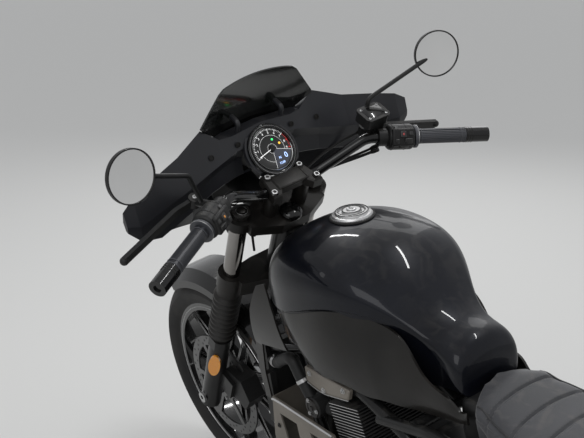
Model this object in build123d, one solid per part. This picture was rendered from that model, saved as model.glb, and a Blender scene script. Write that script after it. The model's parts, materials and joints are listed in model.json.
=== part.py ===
from build123d import *

# Cruiser motorcycle with a bar-mounted fairing, leaning on its side stand.
#
# The machine is drawn upright in a bike frame: x forward from the rear axle, y to the rider's left, z up from the
# ground, in millimetres. The front end is drawn in a steering frame: its z runs up the steering axis from where that
# axis meets the ground, its x runs forward and its y to the left. Both are placed at the end, steered and leaned.
import os
from math import atan2, cos, degrees, hypot, radians, sin, sqrt, tan

# Stance
wheelbase = 1490.0
rake = 29.5
trail = 125.0
lean = 10.0
steer = 4.0
clearance = 0.3
running_fit = 0.05

# Tyres, as crown arc, greatest width and rim size
front_tyre_radius = 320.0
front_tyre_width = 130.0
front_crown = 70.0
front_rim_radius = 228.6
front_rim_half = 44.0
rear_tyre_radius = 320.0
rear_tyre_width = 180.0
rear_crown = 105.0
rear_rim_radius = 203.2
rear_rim_half = 70.0
shoulder_angle = 55.0
flange_height = 12.0
flange_wall = 5.0
barrel_wall = 9.0

# Spokes, hubs and axles
spoke_pairs = 9
spoke_thickness = 7.0
spoke_depth = 26.0
spoke_pair_gap = 26.0
hub_radius = 40.0
front_hub_half = 60.0
rear_hub_half = 94.0
axle_radius = 10.0
axle_bore = 6.0
spacer_radius = 17.0

# Brakes and belt drive
front_disc_radius = 150.0
rear_disc_radius = 128.0
disc_thickness = 5.0
disc_band = 28.0
caliper_gap = 2.0
rear_pulley_radius = 105.0
front_pulley_radius = 40.0
belt_width = 24.0
belt_thickness = 5.0
belt_y = 110.0
front_pulley_x = 540.0
front_pulley_z = 330.0

# Fork, as heights up the steering axis
fork_spacing = 210.0
fork_tube_radius = 20.5
slider_radius = 28.0
slider_foot = 306.0
slider_top = 600.0
lower_clamp_foot = 802.0
lower_clamp_top = 846.0
upper_clamp_foot = 1010.0
upper_clamp_top = 1036.0
fork_cap_top = 1047.0
stem_radius = 15.0
head_tube_radius = 33.0
head_bore = 19.0
gaiter_folds = 9
gaiter_radius = 35.0

# Amber reflectors on the sliders
reflector_turn = 38.0
reflector_height = 506.0
reflector_long = 42.0
reflector_wide = 16.0

# Front fender
fender_gap = 22.0
fender_wall = 3.0
front_fender_half = 69.0
front_fender_start = 30.0
front_fender_skirt = 46.0
front_fender_end = 150.0

# Handlebar: one named point for each bend of one side, as steering-frame x, y and z
bar_radius = 12.7
bar_clamp_point = (25.0, 0.0, 1103.0)
bar_bend_low = (25.0, 72.0, 1103.0)
bar_bend_high = (0.0, 190.0, 1178.0)
bar_tip = (-135.0, 445.0, 1188.0)
bar_bend_radius = 55.0
bar_cap_length = 55.0
bar_cap_wall = 10.0
bar_cap_radius = 17.5
grip_radius = 17.0
grip_length = 125.0
switch_length = 62.0
switch_radius = 29.0
perch_length = 20.0
perch_radius = 20.0

# Levers and mirrors, in the steering frame
lever_pivot = (50.0, 236.0, 1146.0)
lever_tip = (-2.0, 431.0, 1125.0)
lever_height = 20.0
lever_thickness = 9.0
mirror_radius = 53.0
mirror_depth = 14.0
mirror_rim = 3.0
mirror_stem_radius = 5.0

# Each mirror by its side: glass centre, stem elbow, stem foot and the angle by which the glass is turned inward
mirrors = {
    1: ((34.0, 397.0, 1302.0), (44.0, 262.0, 1234.0), (28.0, 234.0, 1160.0), 8.0),
    -1: ((34.0, -400.0, 1317.0), (46.0, -219.0, 1246.0), (40.0, -215.0, 1216.0), 25.0),
}

# Bar clamp and gauge
riser_spread = 42.0
riser_radius = 17.0
clamp_plate_wall = 9.0
gauge_point = (93.0, 0.0, 1153.0)
gauge_radius = 60.0
gauge_bezel = 6.0
gauge_depth = 30.0
gauge_tilt = 62.0

# Fairing, lamp and screen
fairing_wall = 4.0
lamp_radius = 78.0
lamp_height = 985.0
lamp_front = 292.0
lamp_depth = 100.0
screen_wall = 4.0
screen_foot = 1216.0
screen_top = 1302.0
screen_post_y = 60.0

# Frame tubes
rail_radius = 14.0
main_rail_y = 112.0
rail_y = 118.0
brace_radius = 9.0
backbone_radius = 18.0
cradle_x = 922.0
cradle_z = 350.0
cradle_radius = 11.0
seat_rail_radius = 12.0
pivot_x = 445.0
pivot_z = 320.0
pivot_plate_y = 80.0
pivot_plate_wall = 12.0

# Swingarm and shocks
arm_inner_y = 128.0
arm_width = 28.0
arm_height = 50.0
arm_root_y = 62.0
shock_y = 172.5
shock_top = (165.0, 650.0)
shock_foot = (60.0, 340.0)
spring_radius = 27.0

# Engine
case_half = 110.0
case_rear_half = 92.0
case_rear_x = 500.0
case_foot = 200.0
cylinder_half = 118.0

# Cylinders and head, as heights up the leaning cylinder axis from the joint with the crankcase
cylinder_lean = 15.0
cylinder_x = 778.0
cylinder_z = 484.0
fin_half = 134.0
fin_front = 48.0
fin_back = 60.0
fin_count = 15
fin_pitch = 6.9
fin_wall = 3.0
fin_foot = 14.0
head_foot = 114.0
head_height = 46.0
head_half = 92.0
cover_y = 128.0
cover_wall = 10.0

# Radiator, its shrouds and the chin cowl
radiator_rear = 1084.0
radiator_front = 1118.0
radiator_foot = 412.0
radiator_top = 626.0
radiator_half = 118.0
radiator_tank = 16.0
shroud_wall = 4.0
pan_half = 152.0
pan_wall = 4.0

# Thermostat housing and hose
outlet = (900.0, 552.0)
outlet_y = 112.0
outlet_reach = 34.0
outlet_radius = 25.0
hose_radius = 13.0
hose_y = 139.0

# Tank, seats and rear
cap_x = 872.0
cap_seat_z = 940.0
cap_radius = 42.0
spine_half = 34.0
panel_wall = 5.0
seat_foot = 656.0
rear_fender_half = 106.0
rear_fender_gap = 18.0
muffler_y = -202.0
muffler_z = 252.0
muffler_radius = 47.0
pipe_radius = 20.0
peg_x = 640.0
peg_z = 300.0
stand_pivot = (575.0, 128.0, 212.0)
stand_reach = (82.0, 150.0)
stand_folded = (-0.97, 0.22, 0.05)
stand_leg_radius = 10.0
stand_eye_half = 12.0
stand_pin_radius = 6.0


# Placing the two frames

def steering_origin():
    """The point where the steering axis meets the ground, straight ahead and upright."""
    return Vector(wheelbase + trail, 0, 0)


def axle_in_steering(height):
    """Steering-frame x and z of the front axle that is this high above the ground."""
    back = radians(rake)
    return -trail * cos(back) + height * sin(back), trail * sin(back) + height * cos(back)


def steering_place(angle=steer):
    """Location that carries the steering frame into the bike frame, turned by angle to the left."""
    return Location(steering_origin()) * Rot(0, -rake, 0) * Rot(0, 0, angle)


lean_place = Rot(-lean, 0, 0)
rear_axle_z = rear_tyre_radius - rear_crown + rear_crown / cos(radians(lean))


def lowest_of_tyre(axle_height):
    """World height of the leaned, steered front tyre's lowest point for an axle drawn at axle_height."""
    x, z = axle_in_steering(axle_height)
    place = lean_place * steering_place()
    centre = (place * Pos(x, 0, z)).position
    across = (place * Pos(x, 1, z)).position - centre
    ring = front_tyre_radius - front_crown
    return centre.Z - ring * sqrt(1 - across.Z**2) - front_crown


low_try, high_try = lowest_of_tyre(310.0), lowest_of_tyre(330.0)
front_axle_z = 310.0 - low_try * 20.0 / (high_try - low_try)
axle_f, axle_a = axle_in_steering(front_axle_z)


# Small builders

def tube(points, radius, bend=0.0):
    """A round bar through the points, with each corner bent to the radius."""
    path = Polyline(*points) if bend == 0 or len(points) == 2 else FilletPolyline(*points, radius=bend)
    return sweep(Plane(origin=path @ 0, z_dir=path % 0) * Circle(radius), path=path)


def rod(start, end, radius, bore=0.0):
    """A straight cylinder from start to end, with an optional bore."""
    axis = Vector(*end) - Vector(*start)
    plane = Plane(origin=start, z_dir=axis)
    face = plane * Circle(radius)
    if bore:
        face -= plane * Circle(bore)
    return extrude(face, amount=axis.length, dir=axis.normalized())


def both_sides(shape):
    """The shape and its mirror image across the machine's middle plane."""
    return Compound(children=[*shape.solids(), *mirror(shape, about=Plane.XZ).solids()])


def slab(points, low_y, high_y):
    """A plate with this x and z outline, from low_y to high_y."""
    face = Plane.XZ * make_face(Polyline(*points, close=True))
    return Pos(0, low_y, 0) * extrude(face, amount=high_y - low_y, dir=(0, 1, 0))


def block(low, high):
    """A box from its lowest to its highest corner."""
    size = [b - a for a, b in zip(low, high)]
    middle = [(a + b) / 2 for a, b in zip(low, high)]
    return Pos(*middle) * Box(*size)


def arched_section(x, top, half, side, low_half, foot):
    """A closed section across the machine: an arched top, sides that fall in below a crease, and a flat foot."""
    plane = Plane(origin=(x, 0, 0), x_dir=(0, 1, 0), z_dir=(1, 0, 0))
    dip = (half + low_half) / 2 - 0.06 * (side - foot)
    middle = (side + foot) / 2
    edges = [
        ThreePointArc((half, side), (0, top), (-half, side)),
        ThreePointArc((-half, side), (-dip, middle), (-low_half, foot)),
        Line((-low_half, foot), (low_half, foot)),
        ThreePointArc((low_half, foot), (dip, middle), (half, side)),
    ]
    return plane * make_face(Wire(edges))


def turned(points):
    """A solid of revolution about the wheel axis from an outline of (y, radius) points."""
    return revolve(Plane.YZ * make_face(Polyline(*points, close=True)), axis=Axis.Y)


# Wheels, drawn about the origin with their axle along y

def tyre(radius, width, crown, rim_radius, rim_half):
    """A tyre with a round crown, bulging sides and straight beads behind the rim flanges."""
    shoulder_y = crown * sin(radians(shoulder_angle))
    shoulder_r = radius - crown * (1 - cos(radians(shoulder_angle)))
    bead = rim_radius + flange_height
    widest = (bead + shoulder_r) / 2
    edges = [
        ThreePointArc((-shoulder_y, shoulder_r), (0, radius), (shoulder_y, shoulder_r)),
        ThreePointArc((shoulder_y, shoulder_r), (width / 2, widest), (rim_half, bead)),
        Polyline((rim_half, bead), (rim_half, rim_radius), (-rim_half, rim_radius), (-rim_half, bead)),
        ThreePointArc((-rim_half, bead), (-width / 2, widest), (-shoulder_y, shoulder_r)),
    ]
    return revolve(Plane.YZ * make_face(Wire([e for part in edges for e in part.edges()])), axis=Axis.Y)


def rim(rim_radius, rim_half, hub_half):
    """A cast rim: flanged barrel, hub and pairs of slim spokes joined in a loop at the barrel."""
    lip = rim_half + flange_wall
    outer, inner = rim_radius + flange_height, rim_radius - barrel_wall
    barrel = turned([
        (-lip, outer), (-rim_half, outer), (-rim_half, rim_radius), (rim_half, rim_radius),
        (rim_half, outer), (lip, outer), (lip, inner), (-lip, inner),
    ])
    hub = rod((0, -hub_half, 0), (0, hub_half, 0), hub_radius)
    length = inner + 3 - hub_radius * 0.7
    spokes = []
    for number in range(spoke_pairs):
        turn = Rot(0, number * 360 / spoke_pairs, 0)
        for side in (-1, 1):
            bar = Box(spoke_thickness, spoke_depth, length)
            lean_in = Rot(0, side * -3.0, 0)
            spokes.append(turn * Pos(side * spoke_pair_gap / 2, 0, hub_radius * 0.7 + length / 2) * lean_in * bar)
        bridge = Box(spoke_pair_gap + 10, spoke_depth, 14)
        spokes.append(turn * Pos(0, 0, inner - 4) * bridge)
    wheel = (barrel + hub).fuse(*spokes)
    return wheel - rod((0, -hub_half - 1, 0), (0, hub_half + 1, 0), axle_radius + running_fit)


def disc(radius, inner_y, windows):
    """A brake disc with its carrier, its inner face at inner_y and windows cut between the two."""
    bore = spacer_radius + 4
    plate = rod((0, inner_y, 0), (0, inner_y + disc_thickness, 0), radius, bore)
    inner, outer = hub_radius + 6, radius - disc_band
    ring = rod((0, inner_y - 1, 0), (0, inner_y + disc_thickness + 1, 0), outer, inner)
    arms = [Rot(0, n * 360 / windows, 0) * Pos(0, inner_y, radius / 2) * Box(16, 20, radius) for n in range(windows)]
    return plate - (ring - Compound(children=arms))


def pulley():
    """The rear belt pulley with lightening holes, seated on the hub's left end."""
    low_y, high_y = belt_y - belt_width / 2 - 2, belt_y + belt_width / 2 + 2
    wheel = rod((0, low_y, 0), (0, high_y, 0), rear_pulley_radius - belt_thickness - clearance, spacer_radius + 4)
    holes = [
        Rot(0, n * 60, 0) * Pos(0, 0, rear_pulley_radius * 0.6) * rod((0, low_y - 1, 0), (0, high_y + 1, 0), 19)
        for n in range(6)
    ]
    neck = rod((0, rear_hub_half, 0), (0, low_y, 0), hub_radius, spacer_radius + 4)
    return wheel - Compound(children=holes) + neck


# Front end, in the steering frame

def front_axle():
    """The front axle with its nuts and the collars that space the hub."""
    reach = fork_spacing / 2 + slider_radius
    inner = fork_spacing / 2 - slider_radius
    pin = rod((axle_f, -reach - 6, axle_a), (axle_f, reach + 6, axle_a), axle_radius, axle_bore)
    for side in (-1, 1):
        pin += rod((axle_f, side * (front_hub_half + 0.5), axle_a), (axle_f, side * inner, axle_a), spacer_radius, axle_radius)
        pin += rod((axle_f, side * reach, axle_a), (axle_f, side * (reach + 6), axle_a), axle_radius + 5, axle_radius)
    return pin


def fork_lowers():
    """Both sliders with their axle lugs, the fender bosses and the caliper lug."""
    y = fork_spacing / 2
    leg = rod((axle_f, y, slider_foot), (axle_f, y, slider_top), slider_radius)
    leg += rod((axle_f, y, slider_top - 34), (axle_f, y, slider_top), slider_radius + 3)
    boss_y = front_fender_half + fender_wall
    leg += rod((axle_f, boss_y, slider_top - 55), (axle_f, y, slider_top - 55), 9)
    flats = block((axle_f - 40, y - slider_radius - 20, slider_foot - 1), (axle_f + 40, y - slider_radius, slider_top - 70))
    leg -= flats
    lug = block((axle_f - 74, y - 12, axle_a + 62), (axle_f, y, axle_a + 122))
    bore = rod((axle_f, y - 60, axle_a), (axle_f, y + 60, axle_a), axle_radius)
    flat_out = block((axle_f - 40, y + slider_radius, slider_foot - 1), (axle_f + 40, y + slider_radius + 20, slider_top))
    left = leg + lug - bore - flat_out
    right = mirror(leg - bore - flat_out, about=Plane.XZ)
    return Compound(children=[*left.solids(), *right.solids()])


def fork_tubes():
    """The two bright upper tubes, from the sliders to just above the upper clamp."""
    y = fork_spacing / 2
    return both_sides(rod((axle_f, y, slider_top), (axle_f, y, fork_cap_top), fork_tube_radius))


def fork_gaiters():
    """The two folded rubber gaiters between the sliders and the lower clamp."""
    length = lower_clamp_foot - clearance - slider_top
    cuff, top_cuff = 12.0, 30.0
    fold = (length - cuff - top_cuff) / gaiter_folds
    neck = fork_tube_radius + 6
    outline = [(fork_tube_radius, 0), (neck, 0), (neck, cuff)]
    for number in range(gaiter_folds):
        foot = cuff + number * fold
        outline += [(gaiter_radius, foot + fold * 0.3), (gaiter_radius, foot + fold * 0.6), (neck, foot + fold)]
    outline += [(neck + 2, foot + fold + 2), (neck + 2, length), (fork_tube_radius, length)]
    face = Plane.XZ * make_face(Polyline(*outline, close=True))
    one = Pos(axle_f, fork_spacing / 2, slider_top) * revolve(face, axis=Axis.Z)
    fender_side = front_fender_half + fender_wall + 1
    return both_sides(one - block((axle_f - 40, 40, slider_top), (axle_f + 40, fender_side, slider_top + 64)))


def clamp_plate(foot, top, ear, waist):
    """One triple clamp: two split bosses on the fork tubes and a bridge through the stem."""
    y = fork_spacing / 2
    outline = [(-ear, -y), (-ear, y), (0, y), (axle_f + ear, y), (axle_f + waist, 40), (axle_f + waist, -40), (axle_f + ear, -y)]
    back = [(-ear + 12, -y), (-waist, -38), (-waist, 38), (-ear + 12, y)]
    face = make_face(Polyline(*(back + outline[3:]), close=True))
    plate = Pos(0, 0, foot) * extrude(face, amount=top - foot, dir=(0, 0, 1))
    for side in (-1, 1):
        plate += rod((axle_f, side * y, foot), (axle_f, side * y, top), fork_tube_radius + 11)
    for side in (-1, 1):
        plate -= rod((axle_f, side * y, foot - 1), (axle_f, side * y, top + 1), fork_tube_radius)
    return plate


def triple_clamps():
    """Upper and lower clamps joined by the stem, with the round stem nut on top."""
    lower = clamp_plate(lower_clamp_foot, lower_clamp_top, 6, 15)
    upper = clamp_plate(upper_clamp_foot, upper_clamp_top, 6, 24)
    stem = rod((0, 0, lower_clamp_foot), (0, 0, upper_clamp_top), stem_radius)
    nut = rod((0, 0, upper_clamp_top), (0, 0, fork_cap_top), 20)
    for foot in (lower_clamp_top, upper_clamp_foot - 26):
        stem += rod((0, 0, foot), (0, 0, foot + 26), head_bore - running_fit)
    return lower + upper + stem + nut


def front_fender():
    """A close fender over the front tyre: a curved crown with side skirts, carried by the slider bosses."""
    inner = front_tyre_radius + fender_gap
    skirt = inner - front_fender_skirt
    half = front_fender_half
    outline = [
        (-half - fender_wall, skirt), (-half - fender_wall, inner - 24), (-half + 22, inner + fender_wall),
        (half - 22, inner + fender_wall), (half + fender_wall, inner - 24), (half + fender_wall, skirt),
        (half, skirt), (half, inner - 26), (half - 23, inner), (-half + 23, inner), (-half, inner - 26), (-half, skirt),
    ]
    sweep_angle = front_fender_end - front_fender_start
    face = Plane.YZ * make_face(Polyline(*outline, close=True))
    shell = revolve(face, axis=Axis.Y, revolution_arc=sweep_angle)
    shell = Rot(0, 90 - front_fender_end, 0) * shell
    shell = Pos(axle_f, 0, axle_a) * shell
    tab = block((axle_f - 16, half, slider_top - 75), (axle_f + 16, half + fender_wall, axle_a + skirt + 20))
    return shell + both_sides(tab)


def bar_points(side):
    """The handlebar's bend points on one side."""
    return [(x, y * side, z) for x, y, z in (bar_clamp_point, bar_bend_low, bar_bend_high, bar_tip)]


def on_grip(side, inward):
    """The point on a grip's axis this far in from the bar's tip."""
    tip = Vector(bar_tip[0], bar_tip[1] * side, bar_tip[2])
    bend = Vector(bar_bend_high[0], bar_bend_high[1] * side, bar_bend_high[2])
    return tuple(tip + (bend - tip).normalized() * inward)


def handlebar():
    """The one-piece handlebar, with a soft bend beside the clamp and another before each grip."""
    left, right = bar_points(1), bar_points(-1)
    points = [on_grip(-1, bar_cap_wall), right[2], right[1], left[1], left[2], on_grip(1, bar_cap_wall)]
    return tube(points, bar_radius, bar_bend_radius)


def sleeve(side, outer, inner, radius):
    """A sleeve on the handlebar between two distances in from the bar's tip."""
    return rod(on_grip(side, outer), on_grip(side, inner), radius, bar_radius)


def grips():
    """The two rubber grips, each with a flange at its inner end."""
    made = []
    for side in (1, -1):
        inner = bar_cap_length + grip_length
        made.append(sleeve(side, bar_cap_length, inner, grip_radius) + sleeve(side, inner - 6, inner, grip_radius + 5))
    return Compound(children=[s for part in made for s in part.solids()])


def bar_caps():
    """The two gloss bar ends, each with a round recess in its end."""
    made = []
    for side in (1, -1):
        cap = rod(on_grip(side, 0), on_grip(side, bar_cap_length), bar_cap_radius)
        cap -= rod(on_grip(side, bar_cap_wall), on_grip(side, bar_cap_length + 1), bar_radius)
        cap -= rod(on_grip(side, 4), on_grip(side, -1), 8)
        made += cap.solids()
    return Compound(children=made)


def switch_housings():
    """The left and right switch housings, rounded and clamped on the bar inboard of the grips."""
    made = []
    start = bar_cap_length + grip_length + clearance
    for side in (1, -1):
        body = sleeve(side, start, start + switch_length, switch_radius)
        shell = fillet(body.edges().filter_by(GeomType.CIRCLE).sort_by(SortBy.RADIUS)[-2:], 9)
        made += shell.solids()
    return Compound(children=made)


def hand_levers():
    """Clutch and brake levers on their perches; the right perch carries the square fluid reservoir."""
    start = bar_cap_length + grip_length + switch_length + 2 * clearance
    made = []
    for side in (1, -1):
        perch = sleeve(side, start, start + perch_length, perch_radius)
        pivot = (lever_pivot[0], side * lever_pivot[1], lever_pivot[2])
        tip = (lever_tip[0], side * lever_tip[1], lever_tip[2])
        middle = on_grip(side, start + perch_length / 2)
        arm = Vector(*pivot) - Vector(*middle)
        near = Vector(*middle) + arm.normalized() * (bar_radius + 2)
        body = perch + rod(tuple(near), pivot, 9)
        knee = (pivot[0] - 2, pivot[1] + side * 46, pivot[2] - 8)
        path = FilletPolyline(pivot, knee, tip, radius=60)
        blade = sweep(Plane(origin=path @ 0, z_dir=path % 0, x_dir=(0, 0, 1)) * Rectangle(lever_height, lever_thickness), path=path)
        body += blade + Pos(*tip) * Sphere(9) + Pos(*pivot) * Cylinder(13, 22)
        if side < 0:
            cup = Pos(middle[0] + 36, middle[1] + 8, middle[2] + 38) * Box(46, 64, 26)
            cup = fillet(cup.edges().filter_by(Axis.Z), 9)
            lid = Pos(middle[0] + 36, middle[1] + 8, middle[2] + 49) * Box(50, 68, 5)
            lid = fillet(lid.edges().filter_by(Axis.Z), 11)
            neck = Pos(middle[0] + 26, middle[1] + 2, middle[2] + 14) * Box(24, 30, 28)
            body += cup + lid + neck
        made += (body - handlebar()).solids()
    return Compound(children=made)


def mirror_plane(side):
    """The plane of one mirror's glass, facing back and a little inward."""
    centre, _, _, inward = mirrors[side]
    back = Vector(-1, -side * tan(radians(inward)), 0)
    facing = (Rot(0, rake, 0) * Pos(*back)).position
    return Plane(origin=centre, z_dir=facing.normalized())


def mirror_housings():
    """Both round mirror shells, domed at the back, with their bent stems."""
    levers = hand_levers()
    made = []
    for side in (1, -1):
        plane = mirror_plane(side)
        well = extrude(plane * Circle(mirror_radius - mirror_rim), amount=-4)
        shell = extrude(plane * Circle(mirror_radius), amount=-mirror_depth)
        shell = fillet(shell.edges().sort_by(Axis(plane.origin, plane.z_dir))[0], 8) - well
        back = plane.origin - plane.z_dir * (mirror_depth - 3)
        _, elbow, foot, _ = mirrors[side]
        stem = tube([foot, elbow, tuple(back)], mirror_stem_radius, 16)
        made += (shell + (stem - well) - levers).solids()
    return Compound(children=made)


def mirror_glasses():
    """The two round mirror glasses, set in their shells."""
    radius = mirror_radius - mirror_rim
    made = [extrude(mirror_plane(side).offset(-4) * Circle(radius), amount=2.5) for side in (1, -1)]
    return Compound(children=[s for part in made for s in part.solids()])


def bar_clamp():
    """The risers and the one-piece top bridge that hold the handlebar."""
    x, _, z = bar_clamp_point
    top = z + bar_radius + 6
    made = None
    for side in (1, -1):
        post = rod((x, side * riser_spread, upper_clamp_top), (x, side * riser_spread, z + 4), riser_radius)
        made = post if made is None else made + post
    half = [(x + 9, 28), (x + 36, 36), (x + 36, 54), (x - 34, 68), (x - 34, 44), (x - 14, 30)]
    plate = make_face(Polyline(*half, *[(px, -py) for px, py in reversed(half)], close=True))
    bridge = Pos(0, 0, z - 4) * extrude(plate, amount=top - z + 4, dir=(0, 0, 1))
    made += chamfer(bridge.faces().sort_by(Axis.Z)[-1].edges(), 3)
    for side in (1, -1):
        for back in (-24, 24):
            made += rod((x + back, side * (50 - back / 4), top), (x + back, side * (50 - back / 4), top + 5), 5)
    return made - handlebar()


def gauge_plane():
    """The plane of the gauge's glass, facing the rider."""
    tilt = radians(90 - gauge_tilt)
    facing = (Rot(0, rake, 0) * Pos(-cos(tilt), 0, sin(tilt))).position
    return Plane(origin=gauge_point, x_dir=(0, 1, 0), z_dir=facing)


def gauge():
    """The round gauge: a cup with a bezel and a shallow dial recess."""
    plane = gauge_plane()
    cup = extrude(plane * Circle(gauge_radius), amount=-gauge_depth, taper=12)
    return cup - extrude(plane * Circle(gauge_radius - gauge_bezel), amount=-6)


# Fairing sections: y of the section, then x and z of the dash foot, the trough, the crease of the light band, the top
# edge, the front's upper line, the brow and the foot of the front skin
fairing_sections = [
    (0.0, (112, 1096), (122, 1132), (126, 1158), (146, 1192), (172, 1182), (222, 1076), (182, 905)),
    (80.0, (108, 1094), (124, 1130), (118, 1160), (142, 1185), (170, 1178), (214, 1074), (174, 905)),
    (110.0, (104, 1092), (118, 1127), (112, 1154), (146, 1184), (170, 1177), (208, 1072), (166, 920)),
    (152.0, (96, 1088), (108, 1122), (104, 1146), (163, 1213), (174, 1180), (198, 1068), (150, 946)),
    (226.0, (72, 1082), (80, 1110), (86, 1136), (134, 1193), (146, 1168), (160, 1064), (112, 1004)),
    (310.0, (48, 1078), (56, 1100), (66, 1130), (106, 1186), (114, 1166), (118, 1100), (76, 1056)),
    (360.0, (42, 1098), (46, 1112), (52, 1132), (88, 1180), (92, 1166), (90, 1130), (62, 1090)),
    (388.0, (54, 1126), (55, 1131), (58, 1140), (76, 1166), (77, 1162), (74, 1140), (62, 1126)),
]


def fairing_plane(y):
    """The plane across the fairing at this y, with its x forward and its y up."""
    return Plane(origin=(0, y, 0), x_dir=(1, 0, 0), z_dir=(0, -1, 0))


def fairing_inside(y, *points):
    """The hollow of one fairing section: the skin's points moved in by the wall, left open towards the rider."""
    moved = []
    for number, (x, z) in enumerate(points):
        before, after = points[max(number - 1, 0)], points[min(number + 1, len(points) - 1)]
        along = (after[0] - before[0], after[1] - before[1])
        size = hypot(*along)
        moved.append((x + along[1] / size * fairing_wall, z - along[0] / size * fairing_wall))
    ends = (moved[-1][0] - 40, moved[-1][1] - 12), (moved[0][0] - 40, moved[0][1] - 12)
    return fairing_plane(y) * make_face(Polyline(*moved, *ends, close=True))


def fairing():
    """The bar-mounted fairing: a folded thin skin, lofted from wing tip to wing tip, open at the back."""
    rows = [(-y, *points) for y, *points in reversed(fairing_sections[1:])] + fairing_sections
    skin = loft([fairing_plane(y) * make_face(Polyline(*points, close=True)) for y, *points in rows], ruled=True)
    skin -= loft([fairing_inside(*row) for row in rows[1:-1]], ruled=True)
    plane = gauge_plane()
    front = bar_clamp_point[0] + 36 + 1.5
    skin += extrude(plane.offset(-14) * Circle(gauge_radius + 6), amount=10) - block((0, -70, 1050), (front, 70, 1250))
    gauge_hole = extrude(plane * Circle(gauge_radius + clearance), amount=60, both=True)
    lamp_hole = rod((60, 0, lamp_height), (lamp_front + 40, 0, lamp_height), lamp_radius)
    y = fork_spacing / 2
    stay = rod((axle_f, y, 958), (187, y - 5, 990), 8) - rod((axle_f, y, 900), (axle_f, y, 1000), fork_tube_radius)
    made = skin - gauge_hole - lamp_hole + both_sides(stay) + screen_posts()
    return made - windscreen() - gauge_hole


def windscreen():
    """The low smoked screen, a curved plate that stands clear of the fairing's top edge."""
    foot, top = screen_foot, screen_top
    outer = ThreePointArc((164, -152), (184, 0), (164, 152))
    inner = ThreePointArc((164 - screen_wall, 152), (184 - screen_wall, 0), (164 - screen_wall, -152))
    band = make_face(Wire([outer, Line(outer @ 1, inner @ 0), inner, Line(inner @ 1, outer @ 0)]))
    sheet = Pos(0, 0, foot - 30) * extrude(band, amount=top - foot + 40, dir=(0, 0, 1))
    edges = [
        Polyline((-152, foot), (-104, top - 18), (-92, top - 9)),
        ThreePointArc((-92, top - 9), (0, top), (92, top - 9)),
        Polyline((92, top - 9), (104, top - 18), (152, foot), (96, foot - 20), (-96, foot - 20), (-152, foot)),
    ]
    face = make_face(Wire([e for part in edges for e in part.edges()]))
    cutter = Plane(origin=(100, 0, 0), x_dir=(0, 1, 0), z_dir=(1, 0, 0)) * face
    return sheet & extrude(cutter, amount=150, dir=(1, 0, 0))


def screen_posts():
    """The two short cranked posts that carry the screen on the fairing."""
    y, z = screen_post_y, screen_foot - 8
    return both_sides(tube([(150, y, z - 32), (151, y, z), (177.2, y, z)], 6, 8))


def headlamp():
    """The round headlamp: a bowl with a rim, held in the fairing."""
    bowl = rod((lamp_front - lamp_depth, 0, lamp_height), (lamp_front - 8, 0, lamp_height), lamp_radius)
    back = rod((axle_f + 32, 0, lamp_height), (lamp_front - lamp_depth, 0, lamp_height), 34)
    well = rod((lamp_front - 12, 0, lamp_height), (lamp_front, 0, lamp_height), lamp_radius - 5)
    gauge_room = extrude(gauge_plane() * Circle(gauge_radius + clearance), amount=-gauge_depth - clearance)
    return bowl + back - well - gauge_room


def headlamp_lens():
    """The slightly domed lens of the headlamp."""
    return rod((lamp_front - 12, 0, lamp_height), (lamp_front - 5, 0, lamp_height), lamp_radius - 5)


def front_caliper():
    """The front brake caliper, straddling the disc behind the left slider."""
    y = fork_spacing / 2 - 12
    body = slab([(-78, 352 + 55), (-20, 352 + 55), (axle_f - 24, 440), (axle_f - 24, 470), (-40, 486), (-86, 452)],
                y - 52, y)
    grown = front_disc_radius + caliper_gap
    disc_y = front_hub_half
    slot = rod((axle_f, disc_y - caliper_gap, axle_a), (axle_f, disc_y + disc_thickness + caliper_gap, axle_a), grown)
    leg = rod((axle_f, fork_spacing / 2, slider_foot), (axle_f, fork_spacing / 2, slider_top), slider_radius)
    return body - slot - leg


def fork_reflectors():
    """The large amber oval reflectors on the outer rear faces of the sliders."""
    turn = radians(reflector_turn)
    normal = (-sin(turn), cos(turn), 0)
    y = fork_spacing / 2
    face = Plane(origin=(axle_f + (slider_radius - 4) * normal[0], y + (slider_radius - 4) * normal[1], reflector_height),
                 x_dir=(0, 0, 1), z_dir=normal)
    one = extrude(face * Ellipse(reflector_long, reflector_wide), amount=9)
    return both_sides(one - rod((axle_f, y, slider_foot), (axle_f, y, slider_top - 34), slider_radius))


# Frame and rear end, in the bike frame

def head_point(height, forward=0.0):
    """Bike-frame x and z of a point at this height up the steering axis."""
    back = radians(rake)
    return wheelbase + trail - height * sin(back) + forward * cos(back), height * cos(back) + forward * sin(back)


def seat_rail():
    """The left seat rail, from behind the engine back over the tyre."""
    y = rail_y
    return tube([(700, y, 606), (560, y, 641), (300, y, 650), (-90, y, 700)], seat_rail_radius, 60)


def backbone():
    """The tube under the tank, from the head to the cross tube before the seat."""
    x, z = head_point(lower_clamp_top + 66)
    return tube([(x - 18, 0, z + 18), (1010, 0, 705), (700, 0, 690), (600, 0, 640)], backbone_radius, 60)


def radiator_braces():
    """The two straight braces from the main rails to the radiator's sides."""
    y = main_rail_y
    return both_sides(rod((905, y, 674), (radiator_rear + 8, y + 4, radiator_top - 12), brace_radius))


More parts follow.
